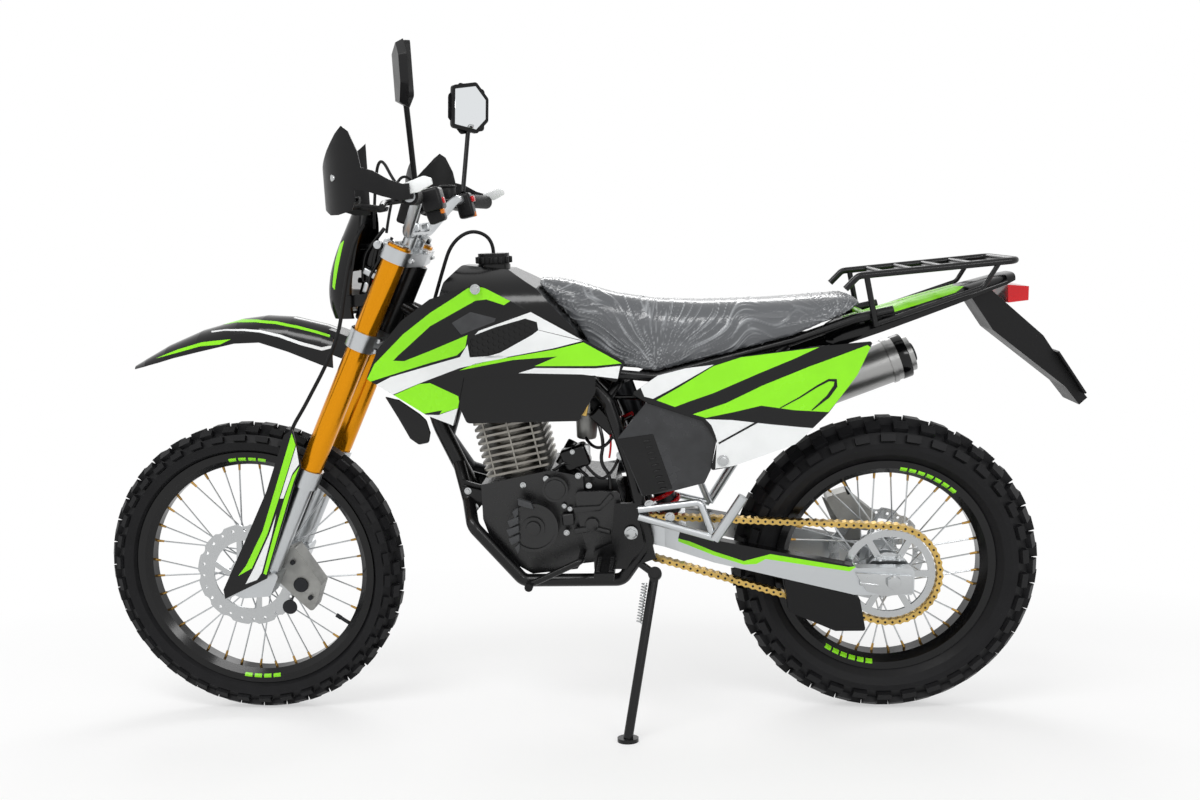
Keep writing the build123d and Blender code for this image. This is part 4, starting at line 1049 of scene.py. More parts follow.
@dataclass
class Hoses:
    """The tank's vent hose, the front brake hose and the control cables."""

    bench: Bench
    vent_route: tuple[Point, ...] = (
        (125, 0, 1058.3), (125, 0, 1090), (168, 14, 1112), (212, 24, 1084), (234, 28, 1026), (258, 28, 956),
    )
    brake_route: tuple[Point, ...] = (
        (392, 60, 1128), (404, 84, 1104), (420, 104, 1037), (429, 122, 974), (436, 134, 922), (448, 142, 884),
        (475, 142, 832), (506, 138, 784), (531, 135, 745), (563, 133, 700), (588, 128, 640),
    )
    clutch_route: tuple[Point, ...] = (
        (262, 150, 1172), (300, 120, 1206), (334, 100, 1272), (356, 80, 1214), (372, 50, 1120),
    )
    throttle_route: tuple[Point, ...] = (
        (262, -150, 1172), (302, -118, 1200), (338, -92, 1246), (362, -70, 1190), (372, -44, 1110),
    )
    hose_radius: float = 4.0
    cable_radius: float = 3.2

    def length(self, item: bpy.types.Object) -> float:
        """Return the length of a hose's own line, in metres.

        Args:
            item: The hose, still a curve.

        Returns:
            Its length.
        """
        depth = item.data.bevel_depth
        item.data.bevel_depth = 0.0
        bpy.context.view_layer.update()
        mesh = bpy.data.meshes.new_from_object(item)
        places = [vertex.co.copy() for vertex in mesh.vertices]
        item.data.bevel_depth = depth
        bpy.data.meshes.remove(mesh)
        return sum((b - a).length for a, b in zip(places, places[1:]))

    def build(self) -> None:
        """Lay the hoses and cables."""
        vent = Line(self.vent_route, self.hose_radius, 4).curve("tank_vent_hose")
        vent.data.transform(PARKED)
        vent.data.update_tag()
        self.bench.dress(vent, "grip_rubber")
        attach(vent, "chassis")
        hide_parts("vent_hose")
        self.length(vent)
        lines = (
            Line(self.clutch_route, self.cable_radius),
            Line(self.brake_route, self.hose_radius),
            Line(self.throttle_route, self.cable_radius),
        )
        self.bench.make("bar_hoses", "grip_rubber", lines, "steering")


@dataclass(frozen=True)
class Laced:
    """Sizes of one laced wheel.

    Attributes:
        end: Which wheel.
        centre: Its axle.
        bead: Radius of the tyre's bead seat.
        hub: Radius at which the spokes leave the hub.
        hub_half: Half the distance between the flanges.
        valve_at: Where the valve is, in degrees.
    """

    end: str
    centre: Vector
    bead: float
    hub: float
    hub_half: float
    valve_at: float


@dataclass
class Wheels:
    """Brass nipples, valve stems and bolts of both wheels, and the front caliper's caps."""

    bench: Bench
    wheels: tuple[Laced, ...] = (
        Laced("front", FRONT_AXLE, 266.7, 26.0, 33.0, 215.0),
        Laced("rear", REAR_AXLE, 228.6, 37.0, 37.0, 66.0),
    )
    spokes_per_side: int = 18
    rim_depth: float = 16.5
    rim_half: float = 4.0
    lacing: float = 62.0
    caliper_caps: tuple[Flat, ...] = ((-98, 278), (-128, 330))
    caliper_bolts: tuple[Flat, ...] = ((606, 384), (572, 300), (640, 372))
    caliper_face: float = 79.0

    def nipples(self, wheel: Laced) -> None:
        """Put a nipple on the rim end of each spoke.

        Args:
            wheel: Sizes of the wheel.
        """
        floor = wheel.bead - self.rim_depth
        step = 360.0 / self.spokes_per_side
        places = []
        for flange in (-1, 1):
            for number in range(self.spokes_per_side):
                angle = math.radians(step * (number + 0.25 * flange))
                lace = angle + math.radians(self.lacing if number % 2 else -self.lacing)
                inner = Vector((wheel.hub * math.cos(lace), flange * wheel.hub_half, wheel.hub * math.sin(lace)))
                outer = Vector((floor * math.cos(angle), flange * self.rim_half, floor * math.sin(angle)))
                turn = (inner - outer).normalized().to_track_quat("Z", "Y").to_matrix().to_4x4()
                places.append(Matrix.Translation((wheel.centre + outer) * MM) @ turn)
        unit = self.bench.copies(Bar((0, 0, -1), (0, 0, 15), 3.2, 8, 0.0, 2.5).make(), places)
        self.bench.finish(f"{wheel.end}_spoke_nipples", [unit], f"{wheel.end}_wheel", "brass_nipple")

    def valve(self, wheel: Laced) -> None:
        """Add the tyre valve, its stem and its cap.

        Args:
            wheel: Sizes of the wheel.
        """
        angle = math.radians(wheel.valve_at)
        way = Vector((math.cos(angle), 0.0, math.sin(angle)))
        root = wheel.centre + way * (wheel.bead - 15)
        parts = (Bar(root, root - way * 26, 4.2, 12, 0.6), Bar(root - way * 24, root - way * 38, 5.2, 8, 0.6))
        self.bench.make(f"{wheel.end}_valve", "dark_steel", parts, f"{wheel.end}_wheel")

    def build(self) -> None:
        """Add what both wheels carry."""
        for wheel in self.wheels:
            self.nipples(wheel)
        for wheel in self.wheels:
            self.valve(wheel)
        face = self.caliper_face
        caps = [
            Bar((FRONT_AXLE.x + x, face, z), (FRONT_AXLE.x + x, face + 5, z), 17, 28, 2.0) for x, z in self.caliper_caps
        ]
        caps += [Bar((x, face, z), (x, face + 7, z), 6, 6, 1.0) for x, z in self.caliper_bolts]
        self.bench.make("caliper_caps", "dark_steel", caps, "steering")
        heads = ring((FRONT_AXLE.x, 59.4, FRONT_AXLE.z), 33, 6, 15, (6, 5.5, 0.8))
        self.bench.make("front_disc_bolts", "dark_steel", heads, "front_wheel")
        heads = ring((REAR_AXLE.x, 79.8, REAR_AXLE.z), 42, 6, 0, (7, 6.5, 0.8))
        self.bench.make("sprocket_bolts", "plated_steel", heads, "rear_wheel")


@dataclass
class ChainPins:
    """Pin heads of the chain."""

    bench: Bench
    pitch: float = 15.875
    front: Vector = field(default_factory=lambda: Vector((-105.0, 452.0)))
    rear: Vector = field(default_factory=lambda: Vector((REAR_AXLE.x, REAR_AXLE.z)))
    front_teeth: int = 13
    rear_teeth: int = 43
    middle: float = 77.0
    pin_half: float = 9.9
    pin_radius: float = 2.7

    @staticmethod
    def on_circle(centre: Vector, radius: float, turn: float, ahead: float = 0.0) -> Vector:
        """Return a point on a circle, and then some way ahead along its tangent."""
        outward = Vector((math.cos(turn), math.sin(turn)))
        return centre + outward * radius + Vector((-outward.y, outward.x)) * ahead

    def pins(self) -> list[Vector]:
        """Return the pins round both sprockets, in the side view."""
        front_radius = self.pitch / 2 / math.sin(math.pi / self.front_teeth)
        rear_radius = self.pitch / 2 / math.sin(math.pi / self.rear_teeth)
        run = self.rear - self.front
        spread = math.asin((rear_radius - front_radius) / run.length)
        straight = run.length * math.cos(spread)
        base = math.atan2(run.y, run.x)
        leaving = base - math.pi / 2 - spread
        coming = base + math.pi / 2 + spread
        rear_wrap = rear_radius * (math.pi + 2 * spread)
        total = 2 * straight + front_radius * (math.pi - 2 * spread) + rear_wrap
        count = 2 * round(total / self.pitch / 2)
        found = []
        for number in range(count):
            way = total * number / count
            if way < straight:
                found.append(self.on_circle(self.front, front_radius, leaving, way))
                continue
            way -= straight
            if way < rear_wrap:
                found.append(self.on_circle(self.rear, rear_radius, leaving + way / rear_radius))
                continue
            way -= rear_wrap
            if way < straight:
                found.append(self.on_circle(self.rear, rear_radius, coming, way))
                continue
            found.append(self.on_circle(self.front, front_radius, coming + (way - straight) / front_radius))
        return found

    def build(self) -> None:
        """Add the pins."""
        unit = Bar((0, -self.pin_half, 0), (0, self.pin_half, 0), self.pin_radius, 10, 0.4).make()
        places = [Matrix.Translation(Vector((pin.x, self.middle, pin.y)) * MM) for pin in self.pins()]
        self.bench.finish("chain_pins", [self.bench.copies(unit, places)], "chassis", "dark_steel")


@dataclass
class Engine:
    """Ribs, bolts and covers on the engine, its mounts and what hangs on them."""

    bench: Bench
    boss: Flat = (49, 468)
    boss_radius: float = 58.0
    clutch: Flat = (-22, 452)
    cylinder_lean: float = 11.0
    cylinder_foot: Point = (82.0, 0.0, 574.4)
    cover_bolts: tuple[Bolt, ...] = (
        (20, 92, 571, 5), (-50, 90, 576, 5), (-17, 92, 509, 4), (-30, 95, 503, 4), (-21, 101, 451, 5),
        (-73, 92, 554, 5), (-113, 62, 563, 4), (72, 86, 556, 5), (-39, 84, 628, 4),
    )
    frame_bolts: tuple[Bolt, ...] = (
        (-163, 124, 456, 11), (-204, 124, 518, 8), (-247, 124, 490, 8), (-315, 127, 516, 7),
        (-139, 110, 402, 8), (-144, 96, 621, 7), (-361, 146, 617, 9), (142, 148, 990, 8),
    )
    plate_bolts: tuple[Bolt, ...] = ((201, 56, 537, 6), (148, 56, 515, 7), (187, 56, 500, 6))

    def bolts(self, name: str, places: tuple[Bolt, ...], both: bool = False) -> None:
        """Add bolt heads on their washers, pointing left.

        Args:
            name: Name of the piece.
            places: X, left, Z and radius of each head.
            both: Whether the right side has the same.
        """
        heads = []
        for x, y, z, radius in places:
            heads.append(Bar((x, y, z), (x, y + 2.0, z), radius * 1.35, 16, 0.5))
            heads.append(Bar((x, y + 1.5, z), (x, y + 6.5, z), radius, 6, 0.9))
        self.bench.make(name, "plated_steel", heads, both=both)

    def left_cover(self) -> None:
        """Add the ribs and castings of the left cover."""
        x, middle = self.boss
        ribs = []
        for z in range(527, 407, -20):
            reach = x + math.sqrt(max(0.0, self.boss_radius**2 - (z - middle) ** 2))
            ribs.append(Plate(((reach + 2, z - 1), (80, z + 9), (80, z - 7), (reach - 4, z - 17)), 124, 112, 2.5))
        self.bench.make("cover_ribs", "grained_grey_pp", ribs)
        castings = (
            Bar((x, 118, middle), (x, 126, middle), 16, 32, 2.5),
            Bar((0, 101, 549), (0, 107, 549), 23, 32, 3.0),
            Block((-25, 97, 480), (26, 10, 26), 4),
            Plate(((-38, 510), (-95, 512), (-120, 540), (-128, 530), (-96, 500), (-40, 496)), 108, 98, 3.0),
            Plate(((-38, 462), (-84, 466), (-118, 456), (-118, 446), (-84, 454), (-38, 448)), 108, 98, 3.0),
            Bar((-78, 99, 470), (-78, 110, 470), 15, 28, 3.0),
        )
        self.bench.make("cover_castings", "engine_black", castings)

    def right_cover(self) -> None:
        """Add the clutch and timing covers on the right of the cases."""
        x, z = self.clutch
        covers = (
            Bar((x, -84, z), (x, -112, z), 72, 48, 5.0, 66),
            Bar((x, -110, z), (x, -117, z), 44, 40, 2.5),
            Bar((84, -84, 470), (84, -104, 470), 52, 40, 4.0, 47),
            Bar((96, -84, 392), (96, -108, 392), 22, 28, 3.0),
        )
        self.bench.make("right_covers", "engine_black", covers)
        self.bench.make("right_cover_bolts", "plated_steel", ring((x, -110, z), 62, 10, 12, (-6, 4.0, 0.6)))

    def mounts(self) -> None:
        """Add the front engine plates and their bolts."""
        outline = ((214, 548), (158, 534), (134, 530), (130, 512), (146, 500), (170, 506), (190, 482), (206, 492))
        self.bench.make("engine_plates", "powder_black_steel", [Plate(outline, 56, 51, 1.0)], both=True)
        self.bolts("engine_plate_bolts", self.plate_bolts, True)

    def intake(self) -> None:
        """Add the carburettor's body, bowl and caps, the petcock and the wiring round them."""
        make = self.bench.make
        castings = (
            Bar((-68, 0, 700), (-64, 0, 640), 26, 28, 4.0, 22),
            Bar((-72, 0, 720), (-76, 0, 792), 22, 28, 3.0),
            Block((-38, 0, 716), (10, 74, 60), 14, 2.0),
            Block((-66, 36, 716), (26, 8, 26), 0, 2.0),
        )
        make("carburettor_castings", "cast_aluminium", castings)
        loom = (
            Block((-116, 42, 684), (84, 44, 34), -45, 7.0),
            Block((-44, 60, 612), (60, 46, 50), 18, 9.0),
            Bar((-40, 34, 640), (-10, 52, 590), 15, 18, 3.0),
            Bar((-30, 52, 590), (-30, -40, 590), 26, 28, 4.0),
            Line(((-20, 40, 740), (-70, 62, 752), (-130, 66, 742), (-190, 60, 742), (-240, 52, 730)), 5.0),
            Line(((-90, 50, 700), (-110, 66, 650), (-96, 70, 600), (-124, 76, 566), (-116, 80, 520)), 4.0),
            Line(((-66, 44, 650), (-84, 70, 628), (-120, 70, 640), (-140, 66, 690), (-170, 58, 700)), 3.5),
            Line(((-60, 70, 604), (-92, 84, 560), (-126, 84, 580), (-150, 80, 640), (-150, 70, 700)), 3.5),
            Line(((40, 60, 560), (0, 84, 590), (-30, 80, 610), (-70, 76, 570)), 3.5),
        )
        make("intake_and_wiring", "gloss_black_abs", loom)
        petcock = (
            Bar((-59, 96, 726), (-59, 112, 726), 15, 24, 2.0),
            Block((-59, 113, 726), (26, 6, 9), -25, 2.0),
            Block((-59, 98, 726), (38, 6, 28), -12, 2.0),
        )
        make("petcock", "plated_gold", petcock)
        make("brass_valve", "plated_gold", [Bar((-183, 56, 672), (-183, 56, 700), 6, 12, 1.0)])
        plug = (
            Bar((-66, 66, 640), (-66, 66, 616), 11, 18, 3.0),
            Bar((-66, 66, 620), (-64, 64, 592), 5, 12, 1.0),
        )
        make("white_plug", "white_film", plug)
        make("red_wire", "red_lens", [Line(((-122, 66, 660), (-124, 72, 636), (-118, 70, 610)), 2.4)])

    def fins(self) -> None:
        """Add the posts that tie the cylinder's fins, and the head's bosses and side cover."""
        lean = math.radians(self.cylinder_lean)
        up = Vector((math.sin(lean), 0.0, math.cos(lean)))
        forward = Vector((math.cos(lean), 0.0, -math.sin(lean)))
        foot = Vector(self.cylinder_foot)
        posts = []
        for ahead in (-52, 0, 52):
            for left in (69, -69):
                start = foot + up * 12 + forward * ahead + Vector((0.0, left, 0.0))
                posts.append(Bar(start, start + up * 138, 2.4, 8))
        for ahead in (-52, 52):
            for left in (52, -52):
                root = foot + up * 190 + forward * ahead + Vector((0.0, left, 0.0))
                posts.append(Bar(root, root + up * 12, 9, 16, 2.0))
        root = foot + up * 172
        posts.append(Bar(root + Vector((0, 58, 0)), root + Vector((0, 68, 0)), 26, 24, 3.0))
        self.bench.make("cylinder_ribs", "finned_aluminium", posts)

    def build(self) -> None:
        """Add all engine details."""
        self.left_cover()
        self.right_cover()
        self.mounts()
        self.intake()
        self.fins()
        self.bolts("cover_bolts", self.cover_bolts)
        self.bolts("frame_bolts", self.frame_bolts, True)


@dataclass
class Cockpit:
    """Switches, reservoirs, instrument, mirror glass and clamp bolts on the steering."""

    bench: Bench
    guard_outline: Outline = (
        (307, 1298), (298, 1277), (289, 1256), (284, 1228), (262, 1222), (233, 1205), (210, 1197), (188, 1198),
        (188, 1172), (217, 1168), (249, 1177), (281, 1188), (300, 1191), (300, 1172), (308, 1154), (339, 1147),
        (392, 1147), (392, 1244), (354, 1264), (332, 1290), (318, 1302),
    )
    guard_bevel: float = 1.2
    guard_bolts: tuple[Point, ...] = ((344, 384, 1213), (232, 413, 1187), (368, 300, 1200), (368, 240, 1200))
    bar_end: float = 400.0
    pane: Outline = ((-52, -46), (18, -60), (52, -30), (56, 24), (24, 62), (-44, 52))
    pane_share: float = 0.84
    mirror_turns: tuple[tuple[int, float], ...] = ((1, 22.0), (-1, 48.0))
    mirror_place: Point = (222.0, 306.0, 1400.0)
    pane_ahead: float = 9.1

    def controls(self) -> None:
        """Add the switch clusters, the brake reservoir and the instrument."""
        controls = (
            Block((198, 236, 1172), (40, 44, 44), 12, 7.0),
            Bar((232, 250, 1196), (262, 262, 1176), 9, 16, 2.0),
            Block((196, 226, 1144), (34, 30, 34), 20, 6.0),
            Block((226, -232, 1166), (38, 40, 58), 12, 7.0),
            Bar((262, -206, 1182), (262, -206, 1210), 19, 28, 3.0),
            Bar((262, -206, 1209), (262, -206, 1215), 21, 28, 1.5),
            Bar((292, 22, 1178), (262, 22, 1196), 38, 36, 4.0, 34),
            Block((300, 22, 1150), (40, 44, 50), -20, 6.0),
        )
        dial = Bar((262, 22, 1195), (260, 22, 1197), 30, 36, 0.5)
        red = (Block((208, -232, 1182), (10, 22, 14), 12, 2.5), Block((178, 240, 1170), (8, 14, 12), 12, 2.5))
        amber = (Block((206, -232, 1146), (10, 16, 12), 12, 2.5), Block((180, 236, 1150), (8, 16, 10), 12, 2.5))
        self.bench.make("bar_controls", "grained_black_pp", controls, "steering")
        self.bench.make("instrument_glass", "dark_steel", [dial], "steering")
        self.bench.make("red_switches", "red_lens", red, "steering")
        self.bench.make("amber_switches", "amber_lens", amber, "steering")

    def guards(self) -> None:
        """Trim the handguards' wings to shell and strap, and add their bolts and white ends."""
        item = self.bench.borrow("handguards", "guard_shells")
        item.data.transform(PARKED.inverted())
        cutter = Plate(self.guard_outline, 600, -600).make()
        modify(item, "BOOLEAN", operation="INTERSECT", solver="EXACT", object=cutter)
        bpy.data.objects.remove(cutter, do_unlink=True)
        soften(item, self.guard_bevel)
        shells = self.bench.finish("guard_shells", [item], "steering", "grained_black_pp")
        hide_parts("handguards")
        outline = ((214, 1196), (173, 1210), (160, 1206), (158, 1195), (183, 1182), (200, 1179))
        self.bench.make("guard_ends", "white_film", [Plate(outline, 412, 402, 2.0)], "steering", both=True)
        heads = []
        for x, y, z in self.guard_bolts:
            for left in (1, -1):
                root = Vector((x, left * y, z))
                out = Vector((0.75, left * 0.66, 0.0)) if y < self.bar_end else Vector((0.0, left, 0.0))
                heads.append(Bar(root - out * 6, root + out * 4, 6.5, 16, 1.5))
        self.bench.make("handguard_bolts", "plated_steel", heads, "steering")

    def mirrors(self) -> None:
        """Glaze both mirrors."""
        up = Vector((0.0, 0.0, 1.0))
        x, y, z = self.mirror_place
        outline = tuple((across * self.pane_share, rise * self.pane_share) for across, rise in self.pane)
        panes = []
        for left, turn in self.mirror_turns:
            angle = math.radians(turn)
            out = Vector((-math.cos(angle), -left * math.sin(angle), 0.0))
            pane = Plate(outline, 0.9, 0.0, 0.4).make()
            basis = Matrix((up.cross(out), out, up)).transposed().to_4x4()
            place = Vector((x, left * y, z)) + out * self.pane_ahead
            pane.data.transform(Matrix.Translation(place * MM) @ basis)
            if basis.determinant() < 0:
                pane.data.flip_normals()
            panes.append(pane)
        self.bench.finish("mirror_glass_panes", panes, "steering", "mirror_glass")

    def wiring(self) -> None:
        """Fill the bay behind the mask with its bracket, loom and connectors."""
        loom = (
            Block((372, 30, 1062), (36, 70, 56), -20, 7.0),
            Block((392, 34, 1000), (30, 60, 60), -20, 7.0),
            Block((408, 40, 946), (26, 44, 44), -20, 6.0),
            Block((372, -40, 1040), (34, 50, 70), -20, 7.0),
            Bar((404, 56, 1082), (326, 62, 1086), 6, 14, 1.0),
            Bar((412, 60, 1012), (352, 62, 1004), 6, 14, 1.0),
            Line(((360, 60, 1090), (380, 74, 1040), (366, 70, 990), (396, 72, 950), (410, 50, 900)), 4.5),
            Line(((330, 66, 1100), (352, 80, 1060), (390, 76, 1010), (380, 72, 960), (420, 60, 920)), 3.5),
            Line(((350, 50, 1120), (372, 66, 1090), (396, 70, 1060), (400, 66, 1010)), 4.0),
        )
        fixings = (
            Bar((360, 66, 1086), (360, 80, 1086), 9, 18, 2.0),
            Bar((338, 66, 1090), (338, 80, 1090), 9, 18, 2.0),
            Block((382, 72, 1026), (30, 12, 14), -30),
            Block((392, 74, 996), (12, 10, 24), -20),
        )
        self.bench.make("mask_bracket_and_loom", "gloss_black_abs", loom, "steering")
        self.bench.make("mask_fixings", "brushed_aluminium", fixings, "steering")
        self.bench.make("mask_red_plug", "red_lens", [Block((372, 76, 1008), (9, 8, 9), 10, 2.0)], "steering")

    def clamps(self) -> None:
        """Add the fork's top caps, its pinch bolts and the bar risers' clamps."""
        parts = []
        for side in (1.0, -1.0):
            parts.append(Bar(on_fork(842, 0, side * 103.0), on_fork(848, 0, side * 103.0), 20, 6, 1.2))
            for along in (612.0, 636.0, 822.0):
                root = on_fork(along, -33, side * 103.0 * 0.92)
                parts.append(Bar(root - Vector((0, side * 8, 0)), root + Vector((0, side * 10, 0)), 5.0, 12, 1.0))
        parts.append(Bar(on_fork(858, -22), on_fork(872, -22), 15, 6, 2.0))
        caps = [Block((290, left, 1118), (38, 24, 20), 8, 5.0) for left in (45.0, -45.0)]
        self.bench.make("fork_bolts", "plated_steel", parts, "steering")
        self.bench.make("bar_clamps", "brushed_aluminium", caps, "steering")

    def build(self) -> None:
        """Add everything on the steering."""
        self.controls()
        self.guards()
        self.mirrors()
        self.wiring()
        self.clamps()


@dataclass
class Running:
    """Springs, axle blocks, peg teeth and pedal pads, scoops, louvres, and the ends of cap, silencer and tail."""

    bench: Bench
    coil_steps: int = 8
    scoop: Outline = (
        (348, 770), (322, 722), (300, 678), (282, 664), (260, 668), (255, 690), (262, 717), (276, 731), (318, 762),
    )
    axle_block: Outline = ((-640, 360), (-690, 356), (-760, 352), (-762, 312), (-700, 306), (-664, 318))
    louvre: Outline = ((-143, 666), (-216, 675), (-254, 556), (-192, 540))
    louvre_slats: int = 9
    cap: Flat = (125, 36)
    cap_lobes: int = 12

    def coil(self, start: Point, end: Point, radius: float, wire: float, turns: int) -> Line:
        """Wind a spring between two points.

        Args:
            start: Its first end.
            end: Its other end.
            radius: Radius of its turns.
            wire: Radius of its wire.
            turns: How many turns it has.

        Returns:
            The spring.
        """
        foot = Vector(start)
        axis = Vector(end) - foot
        turn = axis.to_track_quat("Z", "Y")
        steps = turns * self.coil_steps
        points = []
        for step in range(steps + 1):
            angle = math.tau * step / self.coil_steps
            flat = Vector((radius * math.cos(angle), radius * math.sin(angle), 0.0))
            points.append(tuple(foot + turn @ flat + axis * step / steps))
        return Line(tuple(points), wire, 2)

    def frame_parts(self) -> None:
        """Add the springs, the scoops, the axle blocks, and what the feet stand on."""
        make = self.bench.make
        make("shock_spring", "red_lens", [self.coil((-242, 0, 486), (-170, 0, 700), 31, 5.0, 9)])
        make("shroud_scoops", "gloss_black_abs", [Plate(self.scoop, 150, 140, 4.0)], both=True)
        blocks = (
            Plate(self.axle_block, 126, 117, 2.0),
            Bar((-690, 122, 331), (-650, 122, 336), 5, 10, 1.0),
            Bar((REAR_AXLE.x, 124, REAR_AXLE.z), (REAR_AXLE.x, 137, REAR_AXLE.z), 16, 6, 2.0),
        )
        make("axle_blocks", "plated_steel", blocks, both=True)
        teeth = [Block((x, y, 405), (8, 7, 6), 0, 1.2) for y in range(140, 236, 12) for x in (-122, -96)]
        make("peg_teeth", "powder_black_steel", teeth, both=True)
        pads = (Bar((58, 146, 352), (58, 176, 352), 9, 16, 2.0), Block((112, -152, 356), (34, 30, 6), 0, 2.0))
        make("pedal_pads", "grip_rubber", pads)
        strand = self.coil((-190, 146, 350), (-176, 168, 268), 6.0, 1.5, 14)
        make("stand_spring", "plated_steel", [strand], "side_stand")

    def ends(self) -> None:
        """Add the side covers' louvres, the fuel cap's lobes, and the ends of silencer and tail."""
        make = self.bench.make
        louvre = [Plate(self.louvre, 138, 134, 1.5)]
        for number in range(self.louvre_slats):
            louvre.append(Block((-203 - number * 4.0, 138.5, 660 - number * 13), (15, 4, 5), 8, 1.2))
        make("cover_louvre", "gloss_black_abs", louvre, both=True)
        x, radius = self.cap
        lobes = [Bar((x, 0, 1036), (x, 0, 1052), radius, 40, 2.0)]
        for number in range(self.cap_lobes):
            turn = math.radians(360 / self.cap_lobes * number)
            spot = Vector((x + radius * math.cos(turn), radius * math.sin(turn), 1037))
            lobes.append(Bar(spot, spot + Vector((0, 0, 14)), 5, 10, 1.5))
        make("fuel_cap_lobes", "grained_black_pp", lobes)
        make("silencer_end", "gloss_black_abs", [Bar((-772, -123.4, 785.6), (-793, -124, 793), 51.5, 44, 2.0)])
        make("tail_pipe", "dark_steel", [Bar((-780, -123.7, 788), (-812, -124.6, 800), 22, 32, 1.0)])
        make("tail_lens", "red_lens", [Block((-985, 0, 941), (14, 96, 26), -14, 5.0)])

    def build(self) -> None:
        """Add all running gear details."""
        self.frame_parts()
        self.ends()


@dataclass(frozen=True)
class Shot:
    """The picture's camera, fitted in the upright machine's own frame, in metres and radians.

    Attributes:
        place: Where the lens is.
        yaw: Turn about up, from looking along -Y.
        pitch: How far it looks down.
        roll: Turn about the line of sight.
        lens: Focal length on a 36 mm wide film.
    """

    place: Point = (-0.2542, 2.2247, 1.1221)
    yaw: float = 0.0704
    pitch: float = 0.1758
    roll: float = -0.0356
    lens: float = 30.43
    FILM_WIDTH = 36.0
    CLIP = (0.05, 60.0)

    def axes(self) -> tuple[Vector, Vector, Vector]:
        """Return the right, up and forward directions in the upright frame."""
        ahead = Vector((math.sin(self.yaw), -math.cos(self.yaw), 0.0))
        right = Vector((-math.cos(self.yaw), -math.sin(self.yaw), 0.0))
        rise = Vector((0.0, 0.0, 1.0))
        forward = ahead * math.cos(self.pitch) - rise * math.sin(self.pitch)
        up = rise * math.cos(self.pitch) + ahead * math.sin(self.pitch)
        turned_right = right * math.cos(self.roll) + up * math.sin(self.roll)
        turned_up = up * math.cos(self.roll) - right * math.sin(self.roll)
        return turned_right, turned_up, forward

    def add(self) -> None:
        """Add the camera to the scene, leaned with the machine."""
        right, up, forward = self.axes()
        turn = Matrix((right, up, -forward)).transposed().to_4x4()
        bpy.ops.object.camera_add()
        camera = bpy.context.object
        camera.name = "catalogue_camera"
        camera.matrix_world = PARKED @ Matrix.Translation(Vector(self.place)) @ turn
        camera.data.lens = self.lens
        camera.data.sensor_width = self.FILM_WIDTH
        camera.data.clip_start, camera.data.clip_end = self.CLIP
        bpy.context.scene.camera = camera


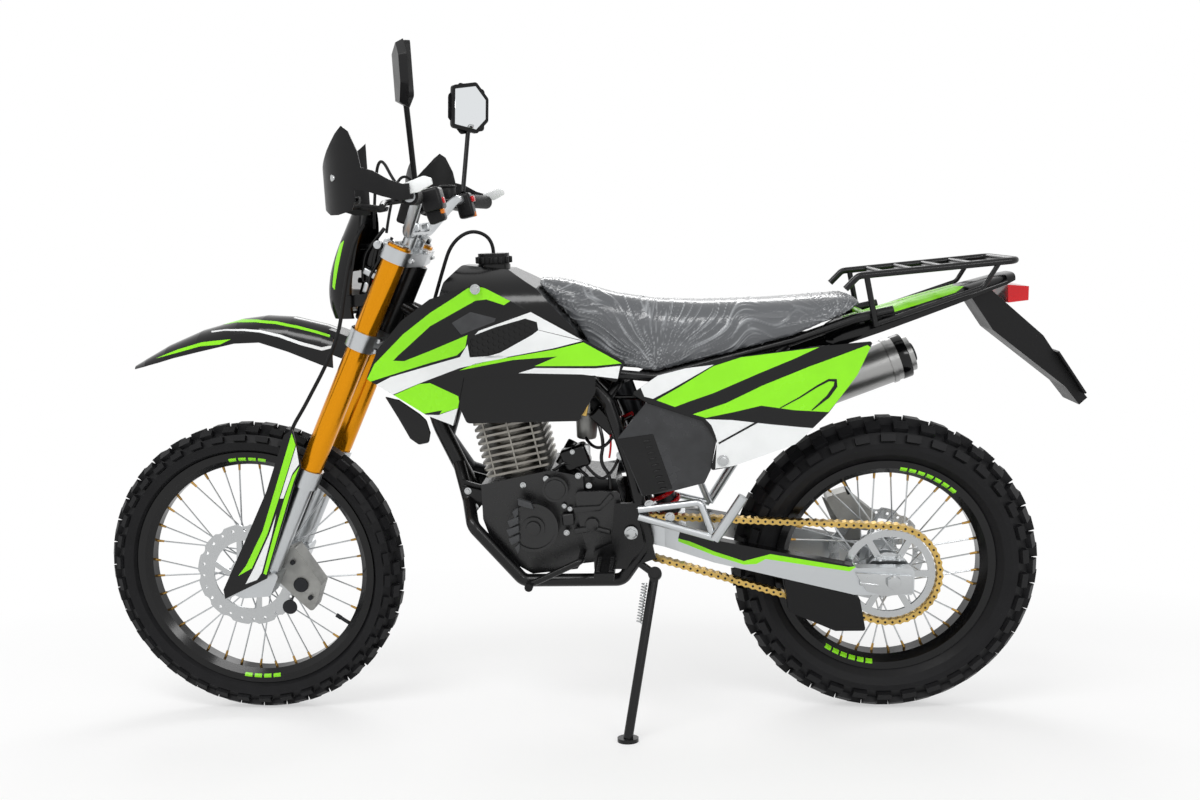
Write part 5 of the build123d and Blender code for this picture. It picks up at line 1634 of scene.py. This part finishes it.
@dataclass
class Studio:
    """Floor, surroundings and lights."""

    paint: Paint
    surround: float = 0.62
    floor_size: float = 60.0
    floor_share: float = 0.5
    shadow_from: float = 1.0
    shadow_to: float = 2.6

    @staticmethod
    def seen(tree: bpy.types.NodeTree) -> bpy.types.NodeSocket:
        """Return a socket that is one where the camera, a reflection or glass looks."""
        rays = add_node(tree, "LightPath").outputs
        most = {"operation": "MAXIMUM"}
        first = add_node(tree, "Math", most, {0: rays["Is Camera Ray"], 1: rays["Is Glossy Ray"]})
        second = add_node(tree, "Math", most, {0: first.outputs["Value"], 1: rays["Is Transmission Ray"]})
        return second.outputs["Value"]

    def floor(self) -> None:
        """Lay the pale floor, white where seen and still dark in the machine's shadow."""
        bpy.ops.mesh.primitive_plane_add(size=self.floor_size, location=(0.0, 0.0, 0.0))
        ground = bpy.context.object
        ground.name = "floor"
        material = self.paint.get("floor")
        tree = material.node_tree
        shader = tree.nodes["Principled BSDF"].outputs["BSDF"]
        glow = add_node(tree, "Emission", {"Color": WHITE_LIGHT, "Strength": 1.0})
        place = add_node(tree, "TexCoord").outputs["Object"]
        away = add_node(tree, "VectorMath", {"operation": "LENGTH"}, {0: place})
        fade = {"From Min": self.shadow_from, "From Max": self.shadow_to, "To Min": self.floor_share, "To Max": 1.0}
        near = add_node(tree, "MapRange", fade, {"Value": away.outputs["Value"]})
        factors = {0: self.seen(tree), 1: near.outputs["Result"]}
        share = add_node(tree, "Math", {"operation": "MULTIPLY"}, factors)
        sources = {"Fac": share.outputs["Value"], 1: shader, 2: glow.outputs["Emission"]}
        mix = add_node(tree, "MixShader", links=sources)
        tree.links.new(mix.outputs["Shader"], tree.nodes["Material Output"].inputs["Surface"])
        ground.data.materials.append(material)

    @staticmethod
    def lamp(name: str, place: Point, target: Point, size: float, power: float) -> None:
        """Add an area light that faces a target.

        Args:
            name: Name of the light.
            place: Where it hangs, in metres.
            target: What it faces.
            size: Length of its longer side, three times the shorter.
            power: Its watts.
        """
        bpy.ops.object.light_add(type="AREA", location=place)
        light = bpy.context.object
        light.name = name
        light.data.shape = "RECTANGLE"
        light.data.size = size
        light.data.size_y = size / 3
        light.data.energy = power
        light.rotation_euler = (Vector(target) - Vector(place)).to_track_quat("-Z", "Y").to_euler()

    def sky(self) -> None:
        """Fill the surroundings: white where seen, softer where it lights the machine."""
        world = bpy.data.worlds.new("studio")
        world.use_nodes = True
        tree = world.node_tree
        background = tree.nodes["Background"].inputs
        background["Color"].default_value = WHITE_LIGHT
        levels = {"To Min": self.surround, "To Max": 1.0}
        level = add_node(tree, "MapRange", levels, {"Value": self.seen(tree)})
        tree.links.new(level.outputs["Result"], background["Strength"])
        bpy.context.scene.world = world

    def build(self) -> None:
        """Set the whole studio up."""
        self.floor()
        self.sky()
        self.lamp("key", (0.9, 2.2, 3.0), (0.0, 0.0, 0.5), 2.1, 46.0)
        self.lamp("fill", (-1.8, 2.8, 1.6), (-0.2, 0.0, 0.6), 1.4, 20.0)
        self.lamp("rim", (0.2, -2.6, 2.8), (0.0, 0.0, 0.7), 2.4, 26.0)
        bpy.context.scene.view_settings.view_transform = "Standard"


def main() -> None:
    """Build the motorcycle's looks and its picture."""
    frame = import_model()
    paint = Paint()
    bench = Bench(frame["nodes"], paint)
    Shot().add()
    Hoses(bench).build()
    for node, item in frame["nodes"].items():
        bench.dress(item, NODE_FINISH[node])
    for assembly in (WrappedSeat, Bodywork, Wheels, ChainPins, Engine, Cockpit, Running):
        assembly(bench).build()
        log.info("built %s", assembly.__name__)
    Studio(paint).build()
    bpy.context.view_layer.update()


if __name__ == "__main__":
    main()
